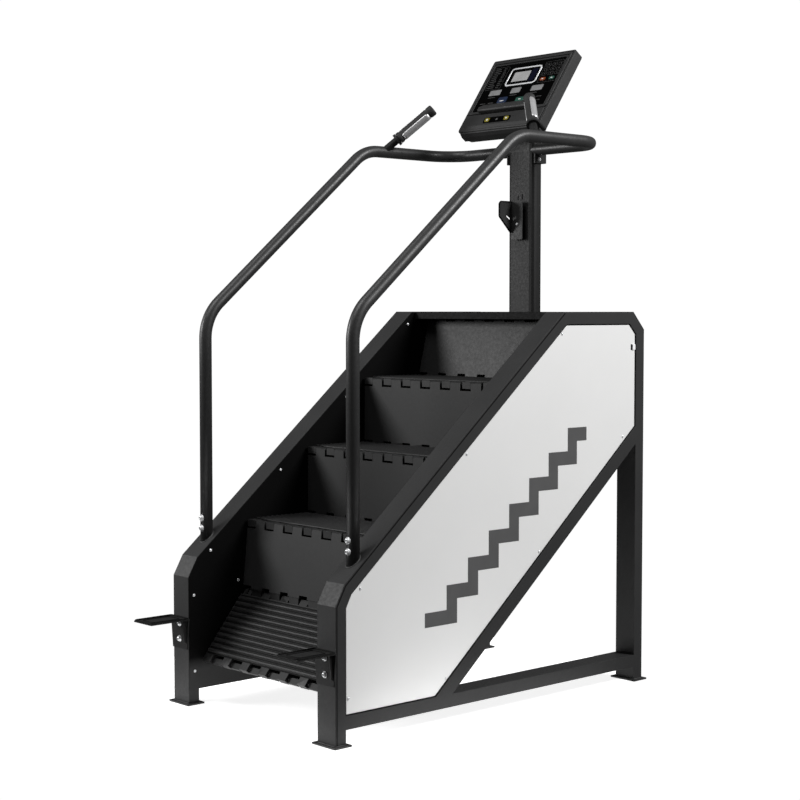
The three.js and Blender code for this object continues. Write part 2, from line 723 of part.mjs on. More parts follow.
// The belt: an open loop round both pulleys, its outline from the two tangent lines.
function beltOutline(extra) {
  const [from, to] = [MOTOR_AXIS, DRIVE_AXIS];
  const [r0, r1] = [MOTOR_PULLEY_RADIUS + extra, PULLEY_RADIUS + extra];
  const distance = Math.hypot(to[0] - from[0], to[1] - from[1]);
  const line = heading(from, to);
  const lean = THREE.MathUtils.radToDeg(Math.acos((r0 - r1) / distance));
  const points = [];
  for (let i = 0; i <= 18; i += 1) {
    points.push(moveAlong(to, line - lean + (2 * lean * i) / 18, r1));
  }
  for (let i = 0; i <= 10; i += 1) {
    points.push(moveAlong(from, line + lean + ((360 - 2 * lean) * i) / 10, r0));
  }
  return points;
}
const belt = prism(beltOutline(5), PULLEY_X + 2, PULLEY_X + PULLEY_WIDTH - 2).subtract(
  prism(beltOutline(1.2), PULLEY_X - 2, PULLEY_X + PULLEY_WIDTH + 2),
);
add("drive_belt", belt, "rubber");

add("control_box", block(-205, -125, 1292, REAR_POST + 33, 930, 1010), "plastic");
const inlet = join([
  block(-274, -226, FRAME_LENGTH - 30, FRAME_LENGTH - 6.5, 863, 891),
  block(-280, -220, FRAME_LENGTH - 3.7, FRAME_LENGTH - 1, 857, 897),
  block(-274, -226, FRAME_LENGTH - 8, FRAME_LENGTH - 3, 863, 891),
]);
add("power_inlet", inlet, "plastic");

// ---------- mast and handrail ----------

const consoleAxes = {
  down: [-Math.cos(rad(CONSOLE_TILT)), -Math.sin(rad(CONSOLE_TILT))],
  out: [-Math.sin(rad(CONSOLE_TILT)), Math.cos(rad(CONSOLE_TILT))],
};
const onConsole = (s, n) => [
  CONSOLE_ORIGIN[0] + s * consoleAxes.down[0] + n * consoleAxes.out[0],
  CONSOLE_ORIGIN[1] + s * consoleAxes.down[1] + n * consoleAxes.out[1],
];

const CONSOLE_BACK = -66;
const backLine = (y) => {
  const [y0, z0] = onConsole(0, CONSOLE_BACK - FIT);
  return z0 + (y - y0) * Math.tan(rad(CONSOLE_TILT));
};

function mastBody() {
  const height = 800;
  const section = (grow) =>
    shapeOf(
      roundedRectangle(
        -MAST_WIDTH / 2 + grow,
        MAST_WIDTH / 2 - grow,
        MAST_FRONT + grow,
        MAST_FRONT + MAST_DEPTH - grow,
        MAST_CORNER - grow,
      ),
    );
  const column = (grow) => {
    const geometry = new THREE.ExtrudeGeometry(section(grow), { depth: height, bevelEnabled: false });
    geometry.translate(0, 0, CROSS_TUBE_TOP + FIT);
    return toManifold(geometry);
  };
  const above = prism(
    [
      [MAST_FRONT - 50, backLine(MAST_FRONT - 50)],
      [MAST_FRONT + MAST_DEPTH + 50, backLine(MAST_FRONT + MAST_DEPTH + 50)],
      [MAST_FRONT + MAST_DEPTH + 50, 2600],
      [MAST_FRONT - 50, 2600],
    ],
    -MAST_WIDTH,
    MAST_WIDTH,
  );
  const railHole = axle(RAIL_RADIUS + FIT, [RAIL_REAR_Y, RAIL_ARM_Z], -MAST_WIDTH, MAST_WIDTH, 24);
  return cut(column(0), [column(MAST_WALL), above, railHole]);
}
add("mast", mastBody(), "frame");

const slopeTopAt = (y) => SLOPE_START[1] + SLOPE * (y - SLOPE_START[0]);
const railCorners = [
  [RAIL_X, RAIL_POST_Y, slopeTopAt(RAIL_POST_Y - RAIL_RADIUS)],
  [RAIL_X, RAIL_POST_Y, RAIL_KNEE_Z],
  [RAIL_X, RAIL_SHOULDER_Y, RAIL_ARM_Z],
  [RAIL_X, RAIL_REAR_Y, RAIL_ARM_Z],
  [-RAIL_X, RAIL_REAR_Y, RAIL_ARM_Z],
  [-RAIL_X, RAIL_SHOULDER_Y, RAIL_ARM_Z],
  [-RAIL_X, RAIL_POST_Y, RAIL_KNEE_Z],
  [-RAIL_X, RAIL_POST_Y, slopeTopAt(RAIL_POST_Y - RAIL_RADIUS)],
].map((corner) => new THREE.Vector3(...corner));
const railPath = new BentPath(
  railCorners,
  [RAIL_BEND, RAIL_BEND, RAIL_REAR_BEND, RAIL_REAR_BEND, RAIL_BEND, RAIL_BEND],
  4,
);
const railTube = toManifold(bentTube(railPath, RAIL_RADIUS, RAIL_WALL, 12));
const slopeCutter = [-1, 1].map((side) =>
  block(side * RAIL_X - 45, side * RAIL_X + 45, 0, 300, -150, 0)
    .rotate([SLOPE_DEG, 0, 0])
    .translate([0, SLOPE_START[0], SLOPE_START[1] + FIT]),
);
add("handrail", cut(railTube, slopeCutter), "frame");

// The saddle holds the cross run of the handrail against the mast.
const SADDLE_X = MAST_WIDTH / 2 + 6;
const saddleOuter = block(
  -SADDLE_X,
  SADDLE_X,
  RAIL_REAR_Y - 18,
  MAST_FRONT + MAST_DEPTH + 8,
  RAIL_ARM_Z - 46,
  RAIL_ARM_Z - RAIL_RADIUS + 6,
);
const saddle = cut(saddleOuter, [
  block(
    -MAST_WIDTH / 2 - FIT,
    MAST_WIDTH / 2 + FIT,
    MAST_FRONT - 20,
    MAST_FRONT + MAST_DEPTH + FIT,
    RAIL_ARM_Z - 60,
    RAIL_ARM_Z + 20,
  ),
  axle(RAIL_RADIUS + FIT, [RAIL_REAR_Y, RAIL_ARM_Z], -SADDLE_X - 1, SADDLE_X + 1, 24),
]);
add("handrail_saddle", saddle, "frame");

// Sensor grips: a post welded on each arm and a sleeve on its end.
const GRIP_FOOT = [360, 860, 1797];
const GRIP_TIP = [226, 975, 1942];
const GRIP_POST_RADIUS = 13;
const GRIP_COLLAR_RADIUS = 22;
const GRIP_SLEEVE_RADIUS = 18;
const gripAt = (side, t) => GRIP_FOOT.map((v, i) => (i === 0 ? side : 1) * (v + (GRIP_TIP[i] - v) * t));

for (const side of SIDES) {
  const armClear = rod(
    RAIL_RADIUS + 1,
    [side * RAIL_X, RAIL_SHOULDER_Y - 100, RAIL_ARM_Z],
    [side * RAIL_X, RAIL_REAR_Y, RAIL_ARM_Z],
    14,
  );
  const post = join([
    rod(GRIP_POST_RADIUS, gripAt(side, 0), gripAt(side, 0.94), 16),
    rod(GRIP_COLLAR_RADIUS, gripAt(side, 0.27), gripAt(side, 0.31), 20),
  ]);
  const slopeClear = rod(
    RAIL_RADIUS + 1,
    [side * RAIL_X, RAIL_SHOULDER_Y - 100, RAIL_ARM_Z - 84],
    [side * RAIL_X, RAIL_SHOULDER_Y + 20, RAIL_ARM_Z + 8],
    14,
  );
  add(`grip_post_${SIDE_NAME[side]}`, cut(post, [armClear, slopeClear]), "frame");

  const sleeve = rod(GRIP_SLEEVE_RADIUS, gripAt(side, 0.314), gripAt(side, 1), 18).subtract(
    rod(GRIP_POST_RADIUS + FIT, gripAt(side, 0.2), gripAt(side, 0.945), 16),
  );
  add(`grip_sleeve_${SIDE_NAME[side]}`, sleeve, "rubber");
}

// ---------- console ----------

// A solid given in console coordinates: x across, s down the face, n out of the face.
const consoleMatrix = new THREE.Matrix4().makeBasis(
  new THREE.Vector3(1, 0, 0),
  new THREE.Vector3(0, -consoleAxes.down[0], -consoleAxes.down[1]),
  new THREE.Vector3(0, ...consoleAxes.out),
);
consoleMatrix.setPosition(0, ...CONSOLE_ORIGIN);

function consolePlate(x0, x1, s0, s1, n0, n1, radius = 4, bevel = 0) {
  const shape = shapeOf(
    roundedRectangle(x0 + bevel, x1 - bevel, -s1 + bevel, -s0 - bevel, Math.max(radius - bevel, 0.5)),
  );
  const geometry = new THREE.ExtrudeGeometry(shape, {
    depth: n1 - n0 - 2 * bevel,
    bevelEnabled: bevel > 0,
    bevelThickness: bevel,
    bevelSize: bevel,
    bevelSegments: 1,
  });
  geometry.translate(0, 0, n0 + bevel);
  geometry.applyMatrix4(consoleMatrix);
  return toManifold(geometry);
}

const consoleProfile = (points) => points.map(([s, n]) => onConsole(s, n));
const HOUSING = { half: 193, top: 4, bottom: 325, depth: 42, corner: 9, bevel: 3 };
const LOWER_HALF_WIDTH = 184;
const BELLY_HALF_WIDTH = 166;
const LOWER_LEVEL = 4;

// The lower edge of the housing: a block that stands proud in front and a narrower
// belly that curves back under it.
const lowerFront = prism(
  consoleProfile([
    [256, -20],
    [256, -1],
    [260, LOWER_LEVEL],
    [308, LOWER_LEVEL],
    [319, 0],
    [328, -9],
    [333, -22],
    [333, -43],
    [270, -41],
  ]),
  -LOWER_HALF_WIDTH,
  LOWER_HALF_WIDTH,
);
const lowerBelly = prism(
  consoleProfile([
    [270, -39],
    [333, -39],
    [333, -43],
    [328, -55],
    [318, -62],
    [296, -62],
    [271, -42],
  ]),
  -BELLY_HALF_WIDTH,
  BELLY_HALF_WIDTH,
);
const FASCIA = { x0: -174, x1: 174, s0: 34, s1: 240 };
const housingFace = consolePlate(
  -HOUSING.half,
  HOUSING.half,
  HOUSING.top,
  HOUSING.bottom,
  -HOUSING.depth,
  0,
  HOUSING.corner,
  HOUSING.bevel,
);
const housing = join([housingFace, lowerFront, lowerBelly]);
const fasciaPocket = consolePlate(
  FASCIA.x0 + 6 - FIT,
  FASCIA.x1 - 6 + FIT,
  FASCIA.s0 - FIT,
  FASCIA.s1 + FIT,
  -4 - FIT,
  20,
  6,
);
const backPocket = consolePlate(-150, 150, 60, 290, -80, -14, 10);

const BUTTONS = {
  stop_key: { x: 103, s: 124, w: 24, h: 13, finish: "orange" },
  start_key: { x: 144, s: 124, w: 24, h: 13, finish: "green" },
  slower_key: { x: -45.5, s: 199, w: 43, h: 26, finish: "blue" },
  faster_key: { x: 40.5, s: 205, w: 39, h: 20, finish: "green" },
  quick_key_left: { x: -64, s: 288, w: 22, h: 16, finish: "yellow" },
  quick_key_right: { x: 27, s: 288, w: 22, h: 16, finish: "yellow" },
};
const KEY_TRAVEL = 1.5;
const isLower = (key) => key.s > FASCIA.s1;
const buttonLevel = (key) => (isLower(key) ? LOWER_LEVEL : 0);

function buttonSolid(key, grow, n0, n1) {
  return consolePlate(
    key.x - key.w / 2 - grow,
    key.x + key.w / 2 + grow,
    key.s - key.h / 2 - grow,
    key.s + key.h / 2 + grow,
    n0,
    n1,
    5,
  );
}

const keyHoles = (lower, depth) =>
  Object.values(BUTTONS)
    .filter((key) => isLower(key) === lower)
    .map((key) => buttonSolid(key, 0.5, buttonLevel(key) - depth, buttonLevel(key) + 10));

add("console_housing", cut(housing, [fasciaPocket, backPocket, ...keyHoles(true, 12)]), "plastic");

const fascia = consolePlate(FASCIA.x0 + 6, FASCIA.x1 - 6, FASCIA.s0, FASCIA.s1, -4, 0, 6);
const screenHole = consolePlate(-74, 72, 56, 137, -2.2, 5, 14);
add("console_fascia", cut(fascia, [screenHole, ...keyHoles(false, 3)]), "gloss");
const bezel = consolePlate(-74 + FIT, 72 - FIT, 56 + FIT, 137 - FIT, -2, 1.5, 14).subtract(
  consolePlate(-68, 66, 62, 131, -5, 5, 9),
);
add("display_bezel", bezel, "chrome");
add("display_screen", consolePlate(-68 + FIT, 66 - FIT, 62 + FIT, 131 - FIT, -2, 0.6, 9), "screen");

const ledge = prism(
  consoleProfile([
    [217, FIT],
    [250, FIT],
    [254, 6],
    [254, 16],
    [250, 20],
    [238, 20],
    [217, 6],
  ]),
  -122,
  122,
);
add("reading_ledge", ledge, "plastic");

const backCover = consolePlate(-148, 148, 62, 288, CONSOLE_BACK, -14 - FIT, 14, 6).subtract(
  consolePlate(-140, 140, 70, 280, CONSOLE_BACK + 4, -10, 8),
);
const cableHole = rod(14, [0, MAST_CENTRE_Y, 1880], [0, MAST_CENTRE_Y, 2080], 16);
add("console_back", backCover.subtract(cableHole), "plastic");

for (const [name, key] of Object.entries(BUTTONS)) {
  const top = buttonLevel(key) + KEY_TRAVEL + 0.3;
  add(name, buttonSolid(key, 0, buttonLevel(key) - 1, top), key.finish);
}

// ---------- bottle holder ----------

// A narrow plate on a spacer block, its left edge folded forward into a slotted wing.
const HOLDER = {
  top: 1622,
  shoulder: 1570,
  neck: 1516,
  bottom: 1492,
  half: 26,
  standoff: 14,
  reach: 60,
  sheet: 4,
  corner: 8,
  spacerHalf: 12,
  spacerInset: 14,
};
const holderBack = MAST_FRONT - FIT;
const plateBack = holderBack - HOLDER.standoff;
const plateFront = plateBack - HOLDER.sheet;
const wingFront = plateFront - HOLDER.reach;
const holderPlate = block(-HOLDER.half, HOLDER.half, plateFront, plateBack, HOLDER.bottom, HOLDER.top);
const holderSpacer = block(
  -HOLDER.spacerHalf,
  HOLDER.spacerHalf,
  plateBack - 1,
  holderBack,
  HOLDER.bottom + HOLDER.spacerInset,
  HOLDER.top - HOLDER.spacerInset,
);
const holderWing = [
  [plateBack, HOLDER.neck],
  [plateBack, HOLDER.top],
  [wingFront + HOLDER.corner, HOLDER.top],
  [wingFront, HOLDER.top - HOLDER.corner],
  [wingFront, HOLDER.shoulder],
  [plateFront - 4, HOLDER.neck],
];
const wingSlot = [
  [plateFront - 6, HOLDER.shoulder - 14],
  [plateFront - 6, HOLDER.shoulder - 3],
  [plateFront - 26, HOLDER.shoulder + 9],
  [plateFront - 26, HOLDER.shoulder - 1],
];
const wingSpan = [-HOLDER.half, HOLDER.sheet - HOLDER.half];
add(
  "bottle_holder",
  cut(
    join([holderPlate, holderSpacer, prism(holderWing, wingSpan[0], wingSpan[1])]),
    [prism(wingSlot, wingSpan[0] - 1, wingSpan[1] + 1)],
  ),
  "plastic",
);

// ---------- entry steps on the front legs ----------

// An outline in the X-Z plane, given depth along Y.
function sweptAlongY(points, y0, y1) {
  const geometry = new THREE.ExtrudeGeometry(shapeOf(points), { depth: y1 - y0, bevelEnabled: false });
  geometry.rotateX(Math.PI / 2);
  geometry.translate(0, y1, 0);
  return toManifold(geometry);
}

const ENTRY = {
  z: 277,
  reach: 145,
  half: 48,
  footHalf: 38,
  bottom: 178,
  sheet: 5,
  lip: 12,
  boltHeights: [258, 209],
};
for (const side of SIDES) {
  const x = side * RAIL_X;
  const plate = block(x - ENTRY.half, x + ENTRY.half, -ENTRY.reach, -FIT, ENTRY.z - ENTRY.sheet, ENTRY.z);
  const flangePlan = [
    [x - ENTRY.footHalf, ENTRY.bottom],
    [x + ENTRY.footHalf, ENTRY.bottom],
    [x + ENTRY.half, ENTRY.z - 1],
    [x - ENTRY.half, ENTRY.z - 1],
  ];
  const flange = sweptAlongY(flangePlan, -ENTRY.sheet - FIT, -FIT);
  const ribLine = [
    [-ENTRY.sheet, ENTRY.z - 1],
    [-ENTRY.sheet - 18, ENTRY.z - 1],
    [-ENTRY.sheet - 14, ENTRY.z - ENTRY.lip],
    [-ENTRY.sheet - 7, ENTRY.bottom + 22],
    [-ENTRY.sheet, ENTRY.bottom + 18],
  ];
  const ribX = x + ENTRY.footHalf - 3;
  const rib = prism(ribLine, ribX - 2, ribX + 2);
  const boltHoles = ENTRY.boltHeights.map((z) => rod(5.5, [x, -20, z], [x, 10, z], 12));
  add(`entry_step_${SIDE_NAME[side]}`, cut(join([plate, flange, rib]), boltHoles), "frame");
}

export default part;
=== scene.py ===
"""Stair climber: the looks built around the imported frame. Metres, +Z up, +Y towards the console."""

import json
import math
import random

import bmesh
import bpy
from mathutils import Matrix, Vector


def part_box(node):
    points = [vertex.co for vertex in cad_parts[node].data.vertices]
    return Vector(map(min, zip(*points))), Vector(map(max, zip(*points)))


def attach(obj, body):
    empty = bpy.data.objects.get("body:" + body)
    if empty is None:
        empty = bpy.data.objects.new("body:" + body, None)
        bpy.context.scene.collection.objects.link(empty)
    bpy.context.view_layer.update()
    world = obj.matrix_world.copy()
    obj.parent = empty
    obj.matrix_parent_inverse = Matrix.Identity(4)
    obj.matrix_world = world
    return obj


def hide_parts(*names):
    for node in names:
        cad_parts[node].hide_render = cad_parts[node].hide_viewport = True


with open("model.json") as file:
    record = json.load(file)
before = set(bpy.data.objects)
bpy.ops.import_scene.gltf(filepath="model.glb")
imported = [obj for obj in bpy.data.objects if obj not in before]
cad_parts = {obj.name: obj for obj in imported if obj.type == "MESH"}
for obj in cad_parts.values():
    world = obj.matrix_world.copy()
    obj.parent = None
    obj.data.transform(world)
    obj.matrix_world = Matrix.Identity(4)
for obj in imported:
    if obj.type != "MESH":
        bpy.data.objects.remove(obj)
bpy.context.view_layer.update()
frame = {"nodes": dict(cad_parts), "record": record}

random.seed(7)

# ---------- dimensions, in mm from the front face of the front legs ----------

MM = 0.001
CENTRE_Y = 611.5
SLOPE = math.radians(40)

STEP_GOING = 251.5
STEP_RISE = 222.5
CLIMB = math.atan2(STEP_RISE, STEP_GOING)

# The side frame: where its outer corner turns from the front leg to the slope, and up to the top.
LEG_TOP = (0, 407)
SLOPE_FOOT = (35, 469)
SLOPE_HEAD = (959, 1244)
FRAME_FACE = 400
LEG_WIDTH = 80
LEG_DEPTH = 40
REAR_LEG_Y = 1316
FOOT_PLATE_TOP = 5.6

RAIL_R = 19.9
RAIL_X = 360
RAIL_POST_Y = 101.5
RAIL_BEND_Z = 1229
RAIL_ARM_Y = 777.5
ARM_Z = 1797
REAR_Y = 1193
RAIL_SINK = 12
POST_BEND = 150
REAR_BEND = 112

CONSOLE_TILT = math.radians(55)
CONSOLE_ORIGIN = Vector((0, 1243.4, 2132.5))

PANEL_FACE = 396.5
INNER_FACE = 317.7
MAST_FRONT = 1171.5
HOLDER_FACE = MAST_FRONT - 18.3
REAR_COVER_FACE = 1352
ENTRY_FACE = -5.6

RIGHT = Vector((1, 0, 0))
FRONT = Vector((0, -1, 0))
REAR = Vector((0, 1, 0))
RAISED = Vector((0, 0, 1))


def point(x, y, z):
    """A point in the part's frame, in metres, from millimetres measured from the front legs."""
    return Vector((x * MM, (y - CENTRE_Y) * MM, z * MM))


def mid(node):
    low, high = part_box(node)
    return (Vector(low) + Vector(high)) / 2


def in_metres(outline):
    return [(a * MM, b * MM) for a, b in outline]


# ---------- materials ----------

def node_material(name):
    mat = bpy.data.materials.new(name)
    mat.use_nodes = True
    tree = mat.node_tree
    return mat, tree, tree.nodes["Principled BSDF"]


def add_node(tree, kind, **values):
    node = tree.nodes.new(kind)
    for key, value in values.items():
        if key in node.inputs:
            node.inputs[key].default_value = value
        else:
            setattr(node, key, value)
    return node


def coordinates(tree, stretch=(1, 1, 1)):
    coords = add_node(tree, "ShaderNodeTexCoord")
    mapping = add_node(tree, "ShaderNodeMapping")
    mapping.inputs["Scale"].default_value = stretch
    tree.links.new(coords.outputs["Object"], mapping.inputs["Vector"])
    return mapping.outputs["Vector"]


def ramp(tree, source, low, high, start=0.3, end=0.7):
    node = add_node(tree, "ShaderNodeMapRange")
    node.inputs["From Min"].default_value = start
    node.inputs["From Max"].default_value = end
    node.inputs["To Min"].default_value = low
    node.inputs["To Max"].default_value = high
    tree.links.new(source, node.inputs["Value"])
    return node.outputs["Result"]


def colour_mix(tree, source, first, second, start=0.3, end=0.7):
    node = add_node(tree, "ShaderNodeValToRGB")
    node.color_ramp.elements[0].position = start
    node.color_ramp.elements[0].color = (*first, 1)
    node.color_ramp.elements[1].position = end
    node.color_ramp.elements[1].color = (*second, 1)
    tree.links.new(source, node.inputs["Fac"])
    return node.outputs["Color"]


def noise(tree, vector, scale, detail=3, roughness=0.55):
    node = add_node(tree, "ShaderNodeTexNoise", Scale=scale, Detail=detail, Roughness=roughness)
    tree.links.new(vector, node.inputs["Vector"])
    return node.outputs["Fac"]


def bump(tree, shader, source, strength, distance):
    node = add_node(tree, "ShaderNodeBump", Strength=strength, Distance=distance)
    tree.links.new(source, node.inputs["Height"])
    tree.links.new(node.outputs["Normal"], shader.inputs["Normal"])


def finish_material(
    name, dark, light, rough, metallic=0.0, spread=0.08, patch=6, grain=700, relief=0.15,
    stretch=(1, 1, 1), specular=0.5,
):
    """A painted, moulded or metal surface: slow colour drift, fine grain in bump and roughness."""
    mat, tree, shader = node_material(name)
    even = coordinates(tree)
    fine = coordinates(tree, stretch)
    drift = noise(tree, even, patch, 4)
    tree.links.new(colour_mix(tree, drift, dark, light), shader.inputs["Base Color"])
    speck = noise(tree, fine, grain, 2)
    sheen = ramp(tree, noise(tree, fine, grain / 12, 3), rough - spread, rough + spread)
    tree.links.new(sheen, shader.inputs["Roughness"])
    bump(tree, shader, speck, relief, 0.0004)
    shader.inputs["Metallic"].default_value = metallic
    shader.inputs["Specular IOR Level"].default_value = specular
    return mat


def grey(value):
    """A neutral colour, a trace towards blue."""
    return (value, value, value * 1.01)


MATERIALS = {
    "powder_coat": finish_material(
        "powder_coat", grey(0.0088), grey(0.0113),
        rough=0.52, grain=1500, relief=0.2, specular=0.26,
    ),
    "white_sheet": finish_material(
        "white_sheet", (0.84, 0.84, 0.835), (0.87, 0.87, 0.865),
        rough=0.42, spread=0.04, patch=2.5, grain=900, relief=0.05,
    ),
    "dark_cover": finish_material(
        "dark_cover", grey(0.0035), grey(0.005), rough=0.6, grain=1300, relief=0.2, specular=0.12
    ),
    "slat": finish_material(
        "slat", grey(0.0118), grey(0.0145),
        rough=0.5, metallic=0.1, spread=0.04, patch=5, grain=1100, relief=0.16, specular=0.34,
    ),
    "bright_steel": finish_material(
        "bright_steel", (0.42, 0.43, 0.44), (0.60, 0.61, 0.62),
        rough=0.32, metallic=1.0, spread=0.1, patch=14, grain=900, relief=0.1, stretch=(0.1, 1, 1),
    ),
    "black_plastic": finish_material(
        "black_plastic", grey(0.016), grey(0.022),
        rough=0.5, grain=1700, relief=0.25, specular=0.32,
    ),
    "gloss_panel": finish_material(
        "gloss_panel", grey(0.0003), grey(0.0006),
        rough=0.4, spread=0.04, patch=20, grain=500, relief=0.02, specular=0.02,
    ),
    "silver_trim": finish_material(
        "silver_trim", (0.66, 0.67, 0.68), (0.78, 0.79, 0.80),
        rough=0.3, metallic=0.25, spread=0.05, patch=30, grain=1400, relief=0.05,
    ),
    "rubber": finish_material(
        "rubber", grey(0.008), grey(0.013), rough=0.72, patch=30, grain=1600, relief=0.5
    ),
    "screen": finish_material(
        "screen", (0.30, 0.30, 0.30), (0.37, 0.37, 0.37),
        rough=0.3, spread=0.03, patch=25, grain=2500, relief=0.05,
    ),
    "orange_key": finish_material(
        "orange_key", (0.15, 0.024, 0.004), (0.26, 0.055, 0.008),
        rough=0.35, spread=0.04, patch=60, grain=900, relief=0.1,
    ),
    "green_key": finish_material(
        "green_key", (0.007, 0.045, 0.03), (0.018, 0.085, 0.06),
        rough=0.35, spread=0.04, patch=60, grain=900, relief=0.1,
    ),
    "blue_key": finish_material(
        "blue_key", (0.002, 0.007, 0.028), (0.005, 0.018, 0.055),
        rough=0.35, spread=0.04, patch=60, grain=900, relief=0.1,
    ),
    "yellow_key": finish_material(
        "yellow_key", (0.16, 0.13, 0.006), (0.28, 0.24, 0.02),
        rough=0.35, spread=0.04, patch=80, grain=900, relief=0.1,
    ),
}
CHROME = finish_material(
    "chrome_bolt", (0.80, 0.81, 0.82), (0.88, 0.89, 0.90),
    rough=0.3, metallic=0.45, spread=0.05, patch=40, grain=1800, relief=0.05,
)
CATCH = finish_material(
    "catch_white", grey(0.90), grey(0.95), rough=0.4, spread=0.05, relief=0.05
)
DECAL = finish_material(
    "decal_grey", grey(0.085), grey(0.098),
    rough=0.5, spread=0.05, patch=12, grain=1200, relief=0.05,
)
PRINT = finish_material(
    "print_grey", grey(0.04), grey(0.075),
    rough=0.45, spread=0.05, patch=60, grain=1200, relief=0.05,
)
# Pale key marks: painted highlights on the stop and start keys, printed legends on the others.
LEGEND_AND_HIGHLIGHT = finish_material(
    "key_legend_and_highlight", grey(0.55), grey(0.75),
    rough=0.4, spread=0.05, patch=60, grain=1200, relief=0.05,
)
WINDOW = finish_material(
    "window_grey", grey(0.17), grey(0.24),
    rough=0.35, spread=0.04, patch=30, grain=900, relief=0.03,
)
BLUE_GLASS = finish_material(
    "display_blue", (0.001, 0.001, 0.006), (0.001, 0.002, 0.012),
    rough=0.3, spread=0.04, specular=0.1,
)
CONTACT = finish_material(
    "grip_contact", grey(0.54), grey(0.64),
    rough=0.34, metallic=0.6, spread=0.05, patch=30, grain=1400, relief=0.05,
)
# Painted light: a lighter copy of the powder coat for the handrail, set to how light falls on it.
RAIL_COAT_PAINTED_LIGHT = finish_material(
    "handrail_coat_painted_light", grey(0.026), grey(0.032), rough=0.42, grain=1500, specular=0.40
)
# Near-black painted shade, laid as thin sheets on grooves, gaps, slots and dark edges.
SHADOW_TRIM = finish_material(
    "painted_shade_trim", grey(0.0015), grey(0.0025), rough=0.6, spread=0.05, specular=0.1
)
# Painted light: a lighter copy of the powder coat for the side frames, which catch more light than the
# mast.
FRAME_COAT_PAINTED_LIGHT = finish_material(
    "frame_coat_painted_light", grey(0.028), grey(0.034), rough=0.52, grain=1500, relief=0.2, specular=0.26
)
WELD = finish_material(
    "weld_bead", grey(0.030), grey(0.042), rough=0.5, patch=80, grain=260, relief=0.9
)
BRASS_PIN = finish_material(
    "inlet_pin", (0.55, 0.40, 0.16), (0.70, 0.54, 0.24),
    rough=0.3, metallic=1.0, spread=0.06, patch=60, grain=900, relief=0.1,
)
# The inner panels' near black above the chain is painted shade over the frame's grey, which shows below
# it.
INNER_GREY = (0.045, 0.045, 0.045, 1)
INNER_GREY_BELOW = 0.11
INNER_PAINTED_SHADE_ABOVE = 0.15


def inner_panel_shade_material():
    """Painted shade: near black beside the stair above the chain, the frame's grey along the strip below
    it.
    """
    mat = finish_material(
        "inner_panel", grey(0.0008), grey(0.0016), rough=0.7, spread=0.05, specular=0.08
    )
    tree = mat.node_tree
    shader = tree.nodes["Principled BSDF"]
    painted_shade = shader.inputs["Base Color"].links[0].from_socket
    split = add_node(tree, "ShaderNodeSeparateXYZ")
    tree.links.new(coordinates(tree), split.inputs["Vector"])
    height = ramp(tree, split.outputs["Z"], 1.0, 0.0, INNER_GREY_BELOW, INNER_PAINTED_SHADE_ABOVE)
    blend = add_node(tree, "ShaderNodeMix", data_type="RGBA")
    colours = [socket for socket in blend.inputs if socket.type == "RGBA"]
    tree.links.new(height, blend.inputs[0])
    tree.links.new(painted_shade, colours[0])
    colours[1].default_value = INNER_GREY
    result = [socket for socket in blend.outputs if socket.type == "RGBA"][0]
    tree.links.new(result, shader.inputs["Base Color"])
    return mat


INNER_PANEL_SHADE = inner_panel_shade_material()

SLOT_NAME = {mat: slot_name for slot_name, mat in MATERIALS.items()}
SLOT_NAME.update({
    CHROME: "silver_trim",
    CATCH: "silver_trim",
    DECAL: "powder_coat",
    PRINT: "screen",
    WINDOW: "screen",
    WELD: "powder_coat",
    BRASS_PIN: "bright_steel",
    LEGEND_AND_HIGHLIGHT: "screen",
    BLUE_GLASS: "screen",
    CONTACT: "silver_trim",
    RAIL_COAT_PAINTED_LIGHT: "powder_coat",
    FRAME_COAT_PAINTED_LIGHT: "powder_coat",
    SHADOW_TRIM: "powder_coat",
})


# ---------- mesh building ----------

